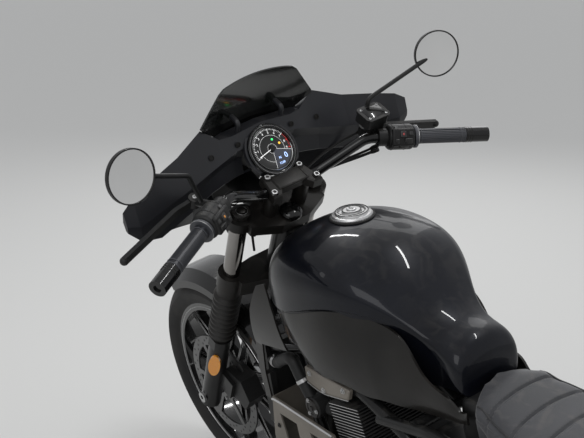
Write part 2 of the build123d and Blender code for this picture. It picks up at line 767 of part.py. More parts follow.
def frame():
    """Head tube, main rails beside the engine, downtubes, backbone, seat rails and swingarm pivot plates."""
    low, high = head_point(lower_clamp_top + 4), head_point(upper_clamp_foot - 4)
    head = rod((low[0], 0, low[1]), (high[0], 0, high[1]), head_tube_radius)
    parts = []
    root, neck = head_point(lower_clamp_top + 66), head_point(lower_clamp_top + 52)
    for side in (1, -1):
        y = main_rail_y * side
        parts.append(tube([(root[0] - 12, side * 16, root[1]), (1000, y, 698), (746, y, 635), (633, y, 600),
                           (540, side * 108, 540), (pivot_x + 10, side * 96, 430)], rail_radius, 50))
        parts.append(tube([(neck[0], side * 18, neck[1] - 6), (1026, side * 85, 600), (cradle_x, side * 94, cradle_z)],
                          rail_radius, 60))
        plate = slab([(pivot_x - 26, 270), (pivot_x + 26, 270), (pivot_x + 26, 380), (pivot_x + 22, 450),
                      (pivot_x - 14, 450), (pivot_x - 26, 380)], 0, pivot_plate_wall)
        low_y = pivot_plate_y if side > 0 else -pivot_plate_y - pivot_plate_wall
        parts.append(Pos(0, low_y, 0) * plate)
    parts.append(backbone())
    parts.append(rod((600, -rail_y, 634), (600, rail_y, 634), 12))
    parts.append(rod((pivot_x, -pivot_plate_y - 4, 430), (pivot_x, pivot_plate_y + 4, 430), 13))
    parts.append(rod((cradle_x, -94, cradle_z), (cradle_x, 94, cradle_z), cradle_radius))
    parts.append(both_sides(seat_rail()))
    parts.append(radiator_braces())
    body = head.fuse(*parts)
    below, above = head_point(lower_clamp_top - 10), head_point(upper_clamp_foot + 10)
    body -= rod((below[0], 0, below[1]), (above[0], 0, above[1]), head_bore)
    pin = rod((pivot_x, -130, pivot_z), (pivot_x, 130, pivot_z), 12)
    for side in (1, -1):
        x, z = shock_top
        body += rod((x, side * (rail_y + 4), z), (x, side * (shock_y + 12), z), 8)
    return body - pin


def swingarm():
    """The box-section swingarm, narrow at its pivot and wide beside the tyre, with the shock lugs."""
    outer = arm_inner_y + arm_width
    edge = arm_root_y + arm_width / 2
    root = arm_root_y - arm_width / 2
    outline = [(pivot_x + 20, root), (pivot_x + 20, edge), (pivot_x - 50, edge), (pivot_x - 115, outer), (-44, outer),
               (-44, arm_inner_y), (pivot_x - 128, arm_inner_y), (pivot_x - 64, root)]
    arm = Pos(0, 0, pivot_z - arm_height / 2) * extrude(make_face(Polyline(*outline, close=True)), amount=arm_height, dir=(0, 0, 1))
    x, z = shock_foot
    lug = rod((x, outer - 6, z - 4), (x, shock_y + 12, z - 4), 8)
    left = arm + lug
    cross = rod((pivot_x, -root, pivot_z), (pivot_x, root, pivot_z), 24)
    body = left + mirror(left, about=Plane.XZ) + cross
    body -= rod((0, -outer - 30, rear_axle_z), (0, outer + 30, rear_axle_z), axle_radius)
    return body - rod((pivot_x, -130, pivot_z), (pivot_x, 130, pivot_z), 12)


def swingarm_pin():
    """The swingarm's pivot shaft through the frame plates."""
    reach = pivot_plate_y + pivot_plate_wall + 8
    return rod((pivot_x, -reach, pivot_z), (pivot_x, reach, pivot_z), 12)


def rear_axle():
    """The hollow rear axle with its collars and end nuts."""
    outer = arm_inner_y + arm_width
    z = rear_axle_z
    pin = rod((0, -outer - 12, z), (0, outer + 12, z), axle_radius, axle_bore)
    for side in (-1, 1):
        pin += rod((0, side * (rear_hub_half + 0.5), z), (0, side * arm_inner_y, z), spacer_radius, axle_radius)
        pin += rod((0, side * outer, z), (0, side * (outer + 12), z), axle_radius + 6, axle_radius)
    return pin


def rear_shocks():
    """Twin rear shocks: eyes, damper and a coil drawn as stacked turns."""
    foot = Vector(shock_foot[0], shock_y, shock_foot[1] - 4)
    top = Vector(shock_top[0], shock_y, shock_top[1])
    axis = top - foot
    length = axis.length
    turns = 11
    low, high = 58.0, length - 34.0
    pitch = (high - low) / turns
    outline = [(0, 12), (16, 12), (16, low - 8), (spring_radius, low - 8), (spring_radius, low)]
    for number in range(turns):
        z = low + number * pitch
        outline += [(spring_radius - 8, z + pitch * 0.3), (spring_radius, z + pitch * 0.5), (spring_radius, z + pitch * 0.8)]
    outline += [(spring_radius, high + 8), (14, high + 8), (14, length - 12), (0, length - 12)]
    face = Plane.XZ * make_face(Polyline(*outline, close=True))
    plane = Plane(origin=foot, x_dir=(0, 1, 0), z_dir=axis.normalized())
    body = plane.location * revolve(face, axis=Axis.Z)
    for x, z in (shock_top, (shock_foot[0], shock_foot[1] - 4)):
        body += rod((x, shock_y - 10, z), (x, shock_y + 10, z), 16)
    for x, z in (shock_top, (shock_foot[0], shock_foot[1] - 4)):
        body -= rod((x, shock_y - 30, z), (x, shock_y + 30, z), 8)
    return both_sides(body)


def crankcase():
    """The engine's lower half with its round side covers, foot-control bosses and the side stand's pivot."""
    front = slab([(600, case_foot), (860, 214), (905, 300), (900, 420), (850, 484), (640, 484), (600, 440)], -case_half, case_half)
    rear = slab([(case_rear_x, 250), (540, case_foot), (602, case_foot), (602, 450), (case_rear_x, 420)],
                -case_rear_half, case_rear_half)
    body = front + rear
    body += rod((720, case_half, 345), (720, case_half + 34, 345), 74)
    body += rod((650, -case_half, 345), (650, -case_half - 36, 345), 84)
    for side in (1, -1):
        body += rod((peg_x - 20, side * (case_half - 5), 262), (peg_x - 20, side * (case_half + 42), 262), 12)
    px, py, pz = stand_pivot
    body += block((px - 30, case_rear_half - 6, pz - 28), (px + 20, case_rear_half + 14, pz + 30))
    root, axis = Vector(*stand_pivot), stand_axis()
    body += rod(tuple(root - axis * 34), tuple(root - axis * (stand_eye_half + clearance)), 17)
    body += rod(tuple(root - axis * 34), tuple(root + axis * (stand_eye_half + 6)), stand_pin_radius)
    body += rod(tuple(root + axis * (stand_eye_half + clearance)), tuple(root + axis * (stand_eye_half + 6)), 11)
    body += block((cradle_x - 42, -30, cradle_z - 14), (cradle_x, 30, cradle_z + 14))
    return body - rod((cradle_x, -94, cradle_z), (cradle_x, 94, cradle_z), cradle_radius)


cylinder_place = Pos(cylinder_x, 0, cylinder_z) * Rot(0, cylinder_lean, 0)


def cylinders():
    """The finned cylinder block of the twin, leaning forward, with the thermostat housing on its left front."""
    core = block((-fin_back + 14, -cylinder_half, -30), (fin_front - 10, cylinder_half, head_foot))
    fins = []
    for number in range(fin_count):
        z = fin_foot + number * fin_pitch
        fins.append(block((-fin_back, -fin_half, z), (fin_front, fin_half, z + fin_wall)))
    body = cylinder_place * core.fuse(*fins)
    x, z = outlet
    housing = rod((x, outlet_y, z), (x, outlet_y + outlet_reach, z), outlet_radius)
    housing = fillet(housing.edges().filter_by(GeomType.CIRCLE), 4)
    neck = rod((x, outlet_y + 10, z), (x - 80, cylinder_half - 20, z - 14), 15)
    joint = block((case_rear_x, -case_half - 30, case_foot), (x, case_half + 30, cylinder_z))
    return body + housing + neck - joint


def cylinder_head():
    """The cylinder head between the main rails, with its cam cover on top."""
    body = block((-fin_back + 8, -head_half, head_foot), (fin_front + 2, head_half, head_foot + head_height - 12))
    cover = block((-fin_back + 14, -head_half + 6, head_foot), (fin_front - 4, head_half - 6, head_foot + head_height))
    cover = fillet(cover.edges().filter_by(Axis.Z), 10)
    return cylinder_place * (body + cover)


def head_covers():
    """The pale side covers of the head, one each side just under the tank."""
    outline = [(921, 643), (764, 649), (774, 622), (871, 597), (919, 606)]
    panel = slab(outline, cover_y, cover_y + cover_wall)
    panel = fillet(panel.edges().filter_by(Axis.Y), 4)
    panel = chamfer(panel.faces().sort_by(Axis.Y)[-1].edges(), 2)
    boss = rod((812, head_half - 6, 622), (812, cover_y + 1, 622), 9)
    foot = rod((838, head_half - 6, 618), (838, cover_y + 1, 618), 8)
    return both_sides(panel + boss + foot - cylinder_head())


def coolant_hose():
    """The coolant hose from the radiator round to the thermostat housing beside the left cylinder."""
    y, x = hose_y, radiator_rear
    path = [(x - clearance, y - 18, 590), (x - 32, y - 13, 592), (x - 74, y, 622), (962, y + 2, 650),
            (940, y + 1, 612), (outlet[0] + 10, y - 2, outlet[1] + 14)]
    housing = rod((outlet[0], outlet_y, outlet[1]), (outlet[0], outlet_y + outlet_reach + 20, outlet[1]), outlet_radius)
    tank = block((x, 0, radiator_foot), (radiator_front, 200, radiator_top + 40))
    return tube(path, hose_radius, 18) - housing - cylinders() - tank


def radiator():
    """The radiator: a core between two side tanks, hung in front of the downtubes."""
    core = block((radiator_rear + 8, -radiator_half, radiator_foot + 8), (radiator_front - 6, radiator_half, radiator_top - 8))
    tank = block((radiator_rear, radiator_half, radiator_foot), (radiator_front, radiator_half + radiator_tank, radiator_top))
    boss = rod((radiator_rear + 2, radiator_half + 8, 560), (radiator_rear + 2, shroud_foot_y + 3, 560), 5)
    return core + both_sides(tank + boss) - radiator_shrouds() - radiator_braces()


shroud_foot_y = 145.0


def radiator_shrouds():
    """The side panels from the radiator up beside the tank's nose, cut from a bowed sheet."""
    wall = shroud_wall
    outer = [ThreePointArc((140, 838), (166, 748), (157, 650)), Line((157, 650), (shroud_foot_y + wall, 480))]
    inner = [Line((shroud_foot_y, 480), (157 - wall, 650)),
             ThreePointArc((157 - wall, 650), (166 - wall, 748), (140 - wall, 838))]
    ends = [Line((shroud_foot_y + wall, 480), (shroud_foot_y, 480)), Line((140 - wall, 838), (140, 838))]
    band = Plane(origin=(900, 0, 0), x_dir=(0, 1, 0), z_dir=(1, 0, 0)) * make_face(Wire([*outer, ends[0], *inner, ends[1]]))
    sheet = extrude(band, amount=220, dir=(1, 0, 0))
    outline = [(1010, 812), (1040, 800), (1064, 740), (1072, 690), (1092, 596), (1090, 500), (1066, 500), (1068, 574),
               (1052, 655), (936, 684), (968, 757), (990, 790)]
    one = sheet & slab(outline, 100, 200)
    return both_sides(fillet(one.edges().filter_by(lambda e: abs(e.tangent_at(0.5).Y) > 0.98).sort_by(Axis.Z)[-1:], 6))


def belly_pan():
    """The chin cowl under the radiator: a shell with sloping sides, a front and a floor."""
    y, wall = pan_half, pan_wall
    outline = [(1076, 402), (1058, 514), (824, 522), (790, 420), (800, 190), (850, 136), (1010, 136), (1060, 190)]
    shell = slab(outline, -y, y)
    hollow = [(1072 - wall, 402), (1054 - wall, 560), (700, 560), (700, 190), (800, 140 + wall), (1006, 136 + wall), (1056 - wall, 194)]
    shell -= slab(hollow, -y + wall, y - wall)
    window = slab([(1020, 420), (1036, 478), (968, 482), (940, 250), (986, 250)], -y - 1, y + 1)
    slot = slab([(900, 440), (918, 484), (876, 486), (850, 300), (880, 300)], -y - 1, y + 1)
    boss = rod((860, case_half, 300), (860, y - wall / 2, 300), 9)
    return shell - window - slot + both_sides(boss)


def exhaust_pipes():
    """Two header pipes that sweep under the engine and join into one on the right."""
    port = cylinder_place * Pos(fin_front + 2 + clearance, 0, head_foot + 20)
    out = port * Pos(62, 0, 0)
    root, knee = port.position, out.position
    right = [(root.X, -45, root.Z), (knee.X, -45, knee.Z), (988, -45, 430), (976, -50, 166), (760, -66, 166),
             (620, -150, 180), (530, muffler_y, muffler_z), (470, muffler_y, muffler_z)]
    left = [(root.X, 45, root.Z), (knee.X, 45, knee.Z), (988, 45, 430), (976, 40, 166), (800, 10, 166), (720, -74, 166)]
    pipes = tube(right, pipe_radius, 46) + tube(left, pipe_radius, 46)
    return pipes


def muffler():
    """The straight muffler on the right with a tapered nose and a turned-in tip."""
    parts = [(470, 25), (430, muffler_radius), (-20, muffler_radius), (-40, muffler_radius - 8), (-52, muffler_radius - 10)]
    outline = [(0, -x) for x in (470,)] + [(r, -x) for x, r in parts] + [(24, 52), (24, 30), (0, 30)]
    face = make_face(Polyline(*[(-y, r) for r, y in outline], close=True))
    body = revolve(Plane.XZ * face, axis=Axis.X)
    return Pos(0, muffler_y, muffler_z) * body


# Tank sections: x, crown height over the cap's seat, half width at the crease, height of the crease, of the floor and
# of the backbone tunnel's top
tank_sections = [
    (1052, -81, 80, 782, 752, 782),
    (1015, -36, 131, 783, 732, 754),
    (960, -8, 160, 781, 708, 738),
    (900, 9, 170, 793, 702, 734),
    (830, 9, 168, 819, 700, 732),
    (750, -8, 153, 839, 700, 730),
    (670, -56, 114, 830, 700, 726),
    (590, -121, 74, 788, 700, 712),
    (508, -199, 56, 711, 690, 700),
]
tank_feet = (700, 940)
tank_lip = 7.0
crown_angle = 24.0
corner_share = 0.762


def tank_section(x, crown, half, crease, floor, tunnel):
    """A closed section of the tank: a broad crown, tangent round corners, straight cheeks, a lip and a narrower belly."""
    top = cap_seat_z + crown
    turn = radians(crown_angle)
    spread = (1 - cos(turn)) / sin(turn)
    corner = corner_share * (top - crease - spread * half)
    shoulder_y = half - corner * (1 - sin(turn))
    shoulder_z = top - spread * shoulder_y
    centre_y, centre_z = half - corner, shoulder_z - corner * cos(turn)
    middle = radians((90 - crown_angle) / 2)
    corner_mid = (centre_y + corner * cos(middle), centre_z + corner * sin(middle))
    lip = (half - tank_lip, crease - 5)
    belly = half - tank_lip - 8

    def other(point):
        return -point[0], point[1]

    shoulder, cheek, edge, foot = (shoulder_y, shoulder_z), (half, centre_z), (half, crease), (belly, floor)
    edges = [
        ThreePointArc(shoulder, (0, top), other(shoulder)),
        ThreePointArc(other(shoulder), other(corner_mid), other(cheek)),
        Polyline(other(cheek), other(edge), other(lip), other(foot), (-spine_half, floor), (-spine_half, tunnel),
                 (spine_half, tunnel), (spine_half, floor), foot, lip, edge, cheek),
        ThreePointArc(cheek, corner_mid, shoulder),
    ]
    plane = Plane(origin=(x, 0, 0), x_dir=(0, 1, 0), z_dir=(1, 0, 0))
    return plane * make_face(Wire([e for part in edges for e in part.edges()]))


def fuel_tank():
    """The teardrop tank: full shoulders over a curved side crease, hollowed below for the backbone."""
    body = loft([tank_section(*row) for row in tank_sections])
    for x in tank_feet:
        body += rod((x, 0, 700), (x, 0, 744), 10) - backbone()
    return body - Pos(cap_x, 0, cap_seat_z + 30) * Cylinder(cap_radius + clearance, 60)


# Side panels under the tank's crease: x, then y and z of the upper edge, y and z of the lower edge
panel_sections = [
    (976, (149, 768), (146, 752)),
    (941, (157, 774), (149, 724)),
    (912, (163, 782), (148, 690)),
    (880, (164, 792), (146, 662)),
    (832, (163, 811), (145, 655)),
    (758, (149, 831), (134, 655)),
    (690, (119, 826), (121, 655)),
    (640, (102, 806), (108, 656)),
    (614, (99, 780), (101, 658)),
    (592, (97, 748), (97, 661)),
    (560, (96, 727), (95, 666)),
    (520, (94, 714), (93, 673)),
    (482, (92, 707), (92, 682)),
]


def panel_section(x, upper, lower):
    """One section of the left panel: a thin bowed band between its upper and lower edges."""
    wall = panel_wall
    bow = 0.07 * (upper[1] - lower[1])
    middle = ((upper[0] + lower[0]) / 2 + bow, (upper[1] + lower[1]) / 2)
    plane = Plane(origin=(x, 0, 0), x_dir=(0, 1, 0), z_dir=(1, 0, 0))
    edges = [
        ThreePointArc(upper, middle, lower),
        Line(lower, (lower[0] - wall, lower[1])),
        ThreePointArc((lower[0] - wall, lower[1]), (middle[0] - wall, middle[1]), (upper[0] - wall, upper[1])),
        Line((upper[0] - wall, upper[1]), upper),
    ]
    return plane * make_face(Wire(edges))


def tank_panels():
    """The two side panels below the tank's crease, swept down and back to the seat."""
    one = loft([panel_section(*row) for row in panel_sections])
    stay = rod((800, 140, 730), (800, 158, 730), 6)
    return both_sides(one + stay - fuel_tank())


def fuel_cap():
    """The round filler cap: a stepped bright ring round a raised key cover, turned about its own axis."""
    r = cap_radius
    outline = [(0, 0), (r, 0), (r, 14), (r - 2, 17), (r - 7, 18), (r - 8, 21), (r - 15, 22), (r - 16, 19), (r - 21, 19),
               (r - 22, 23), (r - 25, 24), (0, 24)]
    face = Plane.XZ * make_face(Polyline(*outline, close=True))
    return Pos(cap_x, 0, cap_seat_z) * revolve(face, axis=Axis.Z)


# Rider seat sections: x, then the top, half width, side height, lower half width and foot, heights over the seat's foot
rider_seat_sections = [
    (504, 93, 100, 82, 94, 22),
    (430, 72, 106, 54, 98, 0),
    (320, 56, 132, 34, 122, 0),
    (220, 60, 146, 38, 136, 0),
    (150, 92, 140, 60, 132, 16),
    (122, 126, 118, 88, 116, 30),
]
pillion_sections = [
    (116, 776, 112, 752, 108, 704),
    (40, 788, 116, 764, 110, 708),
    (-60, 790, 108, 768, 102, 716),
    (-130, 778, 84, 760, 80, 722),
]


def rider_seat():
    """The rider's seat: a rounded nose against the tank, a broad middle and a raised back, resting on the rails."""
    foot = seat_foot
    sections = [
        arched_section(x, foot + top, half, foot + side, low_half, foot + low)
        for x, top, half, side, low_half, low in rider_seat_sections
    ]
    nose = [ThreePointArc((462, 100), (499, 0), (462, -100)),
            Polyline((462, -100), (430, -180), (100, -180), (100, 180), (430, 180), (462, 100))]
    plan = make_face(Wire([e for part in nose for e in part.edges()]))
    body = loft(sections) & Pos(0, 0, foot - 60) * extrude(plan, amount=260, dir=(0, 0, 1))
    z = rear_axle_z
    room = rod((0, -200, z), (0, 200, z), rear_tyre_radius + rear_fender_gap + fender_wall + 1)
    return body - both_sides(seat_rail()) - room


def pillion_seat():
    """The passenger pad on the rear fender."""
    return loft([arched_section(*row) for row in pillion_sections])


def side_covers():
    """The covers under the seat, one each side."""
    outline = [(560, 640), (352, 648), (330, 560), (380, 440), (500, 460), (560, 540)]
    y = rail_y + seat_rail_radius + clearance
    panel = slab(outline, y, y + 8)
    return both_sides(fillet(panel.edges().filter_by(Axis.Y), 14))


def rear_fender():
    """The rear fender: a rounded shell over the tyre, between the seat rails."""
    inner = rear_tyre_radius + rear_fender_gap
    skirt = inner - 70
    half = rear_fender_half
    outline = [
        (-half, skirt), (-half, inner - 22), (-half + 22, inner + fender_wall),
        (half - 22, inner + fender_wall), (half, inner - 22), (half, skirt),
        (half - fender_wall, skirt), (half - fender_wall, inner - 23), (half - 24, inner), (-half + 24, inner),
        (-half + fender_wall, inner - 23), (-half + fender_wall, skirt),
    ]
    face = Plane.YZ * make_face(Polyline(*outline, close=True))
    shell = Rot(0, -76, 0) * revolve(face, axis=Axis.Y, revolution_arc=122)
    shell = Pos(0, 0, rear_axle_z) * shell
    pads = block((-60, -60, inner + rear_axle_z - 8), (60, 60, 730)) - pillion_seat()
    cutter = rod((0, -200, rear_axle_z), (0, 200, rear_axle_z), inner + 1)
    rail_side = rail_y - seat_rail_radius
    ear = slab([(-80, 600), (-6, 620), (-6, 692), (-80, 704)], rail_side - fender_wall, rail_side)
    return shell + (pads - cutter) + both_sides(ear)


def tail_lamp():
    """The small round-cornered tail lamp on the end of the rear fender."""
    x, z = -334.0, 500.0
    return block((x - 26, -46, z - 17), (x - 0.3, 46, z + 17))


def rear_indicators():
    """The two rear indicators on short stalks beside the tail lamp."""
    stalk = rod((-346, 46, 500), (-346, 92, 500), 6)
    lens = rod((-346, 92, 500), (-346, 122, 500), 17)
    return both_sides(stalk + lens)


def plate_holder():
    """The number plate and its bracket below the tail lamp."""
    arm = block((-352, -20, 372), (-346, 20, 482.7)) + block((-352, -20, 468), (-290, 20, 482.7))
    plate = block((-356, -90, 330), (-352, 90, 450))
    fender = rear_tyre_radius + rear_fender_gap + fender_wall
    return arm + plate - rod((0, -200, rear_axle_z), (0, 200, rear_axle_z), fender)


def foot_controls():
    """Footpegs with rubber, the gear pedal on the left and the brake pedal on the right."""
    made = []
    for side in (1, -1):
        y = case_half + 42
        hanger = slab([(peg_x - 36, 250), (peg_x - 6, 250), (peg_x + 14, peg_z + 14), (peg_x - 14, peg_z + 14)],
                      0, 10)
        low_y = y if side > 0 else -y - 10
        body = Pos(0, low_y, 0) * hanger
        body += rod((peg_x, side * (y + 8), peg_z), (peg_x, side * (y + 112), peg_z), 13)
        body += tube([(peg_x, side * (y + 5), peg_z - 10), (peg_x + 60, side * (y + 10), peg_z - 42),
                      (peg_x + 130, side * (y + 10), peg_z - 20)], 6, 20)
        body += rod((peg_x + 126, side * (y + 6), peg_z - 20), (peg_x + 126, side * (y + 50), peg_z - 20), 9)
        made += body.solids()
    return Compound(children=made)


def drive_belt():
    """The toothless outline of the drive belt round the two pulleys, with the front pulley inside it."""
    centre_gap = hypot(front_pulley_x, front_pulley_z - rear_axle_z)
    slope = atan2(front_pulley_z - rear_axle_z, front_pulley_x)
    spread = (rear_pulley_radius - front_pulley_radius) / centre_gap
    lead = slope + (atan2(sqrt(1 - spread**2), spread))
    trail_angle = slope - (atan2(sqrt(1 - spread**2), spread))

    def loop(extra):
        rear, front = rear_pulley_radius + extra, front_pulley_radius + extra
        points = [
            (rear * cos(lead), rear_axle_z + rear * sin(lead)),
            (front_pulley_x + front * cos(lead), front_pulley_z + front * sin(lead)),
            (front_pulley_x + front * cos(slope), front_pulley_z + front * sin(slope)),
            (front_pulley_x + front * cos(trail_angle), front_pulley_z + front * sin(trail_angle)),
            (rear * cos(trail_angle), rear_axle_z + rear * sin(trail_angle)),
            (-rear * cos(slope), rear_axle_z - rear * sin(slope)),
        ]
        edges = [Line(points[0], points[1]), ThreePointArc(points[1], points[2], points[3]),
                 Line(points[3], points[4]), ThreePointArc(points[4], points[5], points[0])]
        return make_face(Wire(edges))

    ring = Plane.XZ * (loop(0) - loop(-belt_thickness))
    belt = Pos(0, belt_y - belt_width / 2, 0) * extrude(ring, amount=belt_width, dir=(0, 1, 0))
    low_y = case_rear_half
    hub = rod((front_pulley_x, low_y, front_pulley_z), (front_pulley_x, belt_y + belt_width / 2 + 4, front_pulley_z), front_pulley_radius - belt_thickness)
    return belt + hub


def rear_caliper():
    """The rear brake caliper inside the right arm."""
    y = -arm_inner_y
    body = slab([(56, 352), (118, 380), (96, 432), (40, 404)], y + 10, y + 44)
    plate = slab([(40, 318), (110, 318), (110, 420), (50, 410)], y, y + 10)
    grown = rear_disc_radius + caliper_gap
    disc_y = -rear_hub_half - disc_thickness
    slot = rod((0, disc_y - caliper_gap, rear_axle_z), (0, disc_y + disc_thickness + caliper_gap, rear_axle_z), grown)
    return body + plate - slot


def ground_at(y):
    """Bike-frame height of the floor beside the leaning machine."""
    return y * tan(radians(lean))


def side_stand():
    """The side stand: a pivot eye, a curved leg and a flat foot on the floor."""
    px, py, pz = stand_pivot
    fx, fy = px + stand_reach[0], py + stand_reach[1]
    fz = ground_at(fy)
    out = Vector(fx - px, fy - py, fz - pz)
    leg = tube([stand_pivot, (px + out.X * 0.5, py + out.Y * 0.42, pz + out.Z * 0.5), (fx, fy, fz + 12)], stand_leg_radius, 120)
    foot = Pos(fx, fy, fz) * Rot(lean, 0, 0) * Pos(0, 6, 4) * Box(62, 46, 8)
    axis = stand_axis()
    low, high = Vector(*stand_pivot) - axis * stand_eye_half, Vector(*stand_pivot) + axis * stand_eye_half
    body = leg + foot + rod(tuple(low), tuple(high), 16)
    return body - rod(tuple(low - axis * 9), tuple(high + axis * 9), stand_pin_radius + running_fit)


def stand_axis():
    """The side stand's hinge axis, which carries the leg from down and out to back along the machine."""
    px, py, pz = stand_pivot
    fy = py + stand_reach[1]
    down = Vector(stand_reach[0], stand_reach[1], ground_at(fy) - pz).normalized()
    return down.cross(Vector(*stand_folded).normalized()).normalized()


# Every node with the frame it is drawn in

bike = Location((0, 0, 0))
fork = steering_place()
front_hub = fork * Pos(axle_f, 0, axle_a)
rear_hub = Pos(0, 0, rear_axle_z)


def build_nodes():
    """All nodes by name, in the upright bike frame."""
    drawn = {
        "frame": (bike, frame()),
        "swingarm": (bike, swingarm()),
        "swingarm_pin": (bike, swingarm_pin()),
        "rear_axle": (bike, rear_axle()),
        "rear_shocks": (bike, rear_shocks()),
        "crankcase": (bike, crankcase()),
        "cylinders": (bike, cylinders()),
        "cylinder_head": (bike, cylinder_head()),
        "head_covers": (bike, head_covers()),
        "coolant_hose": (bike, coolant_hose()),
        "radiator": (bike, radiator()),
        "radiator_shrouds": (bike, radiator_shrouds()),
        "belly_pan": (bike, belly_pan()),
        "exhaust_pipes": (bike, exhaust_pipes()),
        "muffler": (bike, muffler()),
        "fuel_tank": (bike, fuel_tank()),
        "tank_panels": (bike, tank_panels()),
        "fuel_cap": (bike, fuel_cap()),
        "rider_seat": (bike, rider_seat()),
        "pillion_seat": (bike, pillion_seat()),
        "side_covers": (bike, side_covers()),
        "rear_fender": (bike, rear_fender()),
        "tail_lamp": (bike, tail_lamp()),
        "rear_indicators": (bike, rear_indicators()),
        "plate_holder": (bike, plate_holder()),
        "foot_controls": (bike, foot_controls()),
        "drive_belt": (bike, drive_belt()),
        "rear_caliper": (bike, rear_caliper()),
        "side_stand": (bike, side_stand()),
        "rear_tyre": (rear_hub, tyre(rear_tyre_radius, rear_tyre_width, rear_crown, rear_rim_radius, rear_rim_half)),
        "rear_rim": (rear_hub, rim(rear_rim_radius, rear_rim_half, rear_hub_half)),
        "rear_disc": (rear_hub, disc(rear_disc_radius, -rear_hub_half - disc_thickness, 6)),
        "rear_pulley": (rear_hub, pulley()),
        "front_tyre": (front_hub, tyre(front_tyre_radius, front_tyre_width, front_crown, front_rim_radius, front_rim_half)),
        "front_rim": (front_hub, rim(front_rim_radius, front_rim_half, front_hub_half)),
        "front_disc": (front_hub, disc(front_disc_radius, front_hub_half, 6)),
        "front_axle": (fork, front_axle()),
        "fork_lowers": (fork, fork_lowers()),
        "fork_tubes": (fork, fork_tubes()),
        "fork_gaiters": (fork, fork_gaiters()),
        "fork_reflectors": (fork, fork_reflectors()),
        "triple_clamps": (fork, triple_clamps()),
        "front_fender": (fork, front_fender()),
        "front_caliper": (fork, front_caliper()),
        "handlebar": (fork, handlebar()),
        "bar_clamp": (fork, bar_clamp()),
        "grips": (fork, grips()),
        "bar_caps": (fork, bar_caps()),
        "switch_housings": (fork, switch_housings()),
        "hand_levers": (fork, hand_levers()),
        "mirror_housings": (fork, mirror_housings()),
        "mirror_glasses": (fork, mirror_glasses()),
        "gauge": (fork, gauge()),
        "fairing": (fork, fairing()),
        "windscreen": (fork, windscreen()),
        "headlamp": (fork, headlamp()),
        "headlamp_lens": (fork, headlamp_lens()),
    }
    return {name: place * shape for name, (place, shape) in drawn.items()}


def main():
    """Build every node, lean the machine on its stand, centre its footprint and write one file for each node."""
    os.makedirs("parts", exist_ok=True)
    leaned = {name: lean_place * shape for name, shape in build_nodes().items()}
    box = Compound(children=[s for shape in leaned.values() for s in shape.solids()]).bounding_box()
    shift = Pos(-(box.min.X + box.max.X) / 2, -(box.min.Y + box.max.Y) / 2, 0)
    for name, shape in leaned.items():
        solids = (shift * shape).solids()
        export_step(Compound(children=list(solids)), f"parts/{name}.step")
    return shift


floor_shift = main()
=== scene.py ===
"""Cruiser motorcycle on its side stand: finishes, detailed pieces, floor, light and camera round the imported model."""
import json
import logging
from dataclasses import dataclass
from enum import Enum
from math import asin, atan2, cos, degrees, pi, radians, sin, tan
from typing import Optional, Sequence

import bpy
from mathutils import Euler, Matrix, Vector


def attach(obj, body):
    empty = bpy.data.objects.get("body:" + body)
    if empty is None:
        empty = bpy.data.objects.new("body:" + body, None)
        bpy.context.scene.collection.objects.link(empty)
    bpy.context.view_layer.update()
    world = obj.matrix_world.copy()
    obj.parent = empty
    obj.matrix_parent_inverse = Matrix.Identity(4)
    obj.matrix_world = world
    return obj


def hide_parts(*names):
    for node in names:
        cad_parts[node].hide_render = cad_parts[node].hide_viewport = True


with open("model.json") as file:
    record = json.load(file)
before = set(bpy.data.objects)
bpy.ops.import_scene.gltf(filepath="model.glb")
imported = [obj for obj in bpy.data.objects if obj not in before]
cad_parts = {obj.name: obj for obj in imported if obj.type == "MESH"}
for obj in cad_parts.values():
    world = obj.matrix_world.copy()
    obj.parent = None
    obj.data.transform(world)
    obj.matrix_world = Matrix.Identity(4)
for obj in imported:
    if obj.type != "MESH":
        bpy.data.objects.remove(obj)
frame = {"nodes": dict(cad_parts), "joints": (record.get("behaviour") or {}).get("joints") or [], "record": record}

log = logging.getLogger("cruiser")
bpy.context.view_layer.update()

Point = tuple[float, float, float]


class Body(Enum):
    """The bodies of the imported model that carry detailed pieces."""

    CHASSIS = "chassis"
    STEERING = "steering"
    FRONT_WHEEL = "front_wheel"
    REAR_WHEEL = "rear_wheel"


@dataclass(frozen=True)
class Stance:
    """How the machine stands: sizes in metres, angles in degrees."""

    wheelbase: float = 1.490
    trail: float = 0.125
    rake: float = 29.5
    steer: float = 4.0
    lean: float = 10.0
    tyre: float = 0.320
    rear_crown: float = 0.105

    def joint(self, name: str) -> dict:
        """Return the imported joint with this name."""
        return next(j for j in frame["joints"] if j["name"] == name)

    @property
    def rear_axle_height(self) -> float:
        """Height of the rear axle in the upright machine."""
        return self.tyre - self.rear_crown + self.rear_crown / cos(radians(self.lean))

    @property
    def bike(self) -> Matrix:
        """Matrix that carries the upright machine, in metres, into the row frame."""
        lean = Matrix.Rotation(-radians(self.lean), 4, "X")
        hub = Vector(self.joint("rear_wheel_spin")["pos_m"])
        origin = hub - (lean @ Vector((0, 0, self.rear_axle_height)))
        return Matrix.Translation(origin) @ lean

    @property
    def fork(self) -> Matrix:
        """Matrix that carries the steering frame into the row frame."""
        base = Matrix.Translation((self.wheelbase + self.trail, 0, 0))
        rake = Matrix.Rotation(-radians(self.rake), 4, "Y")
        turn = Matrix.Rotation(radians(self.steer), 4, "Z")
        return self.bike @ base @ rake @ turn

    def hub(self, joint: str) -> Matrix:
        """Matrix of a wheel: origin at its centre and y along its axle.

        Args:
            joint: name of the wheel's joint.

        Returns:
            The wheel's matrix in the row frame.
        """
        found = self.joint(joint)
        base = self.fork if joint.startswith("front") else self.bike
        place = base.to_3x3().to_4x4()
        place.translation = Vector(found["pos_m"])
        return place


STANCE = Stance()


# Shader groups

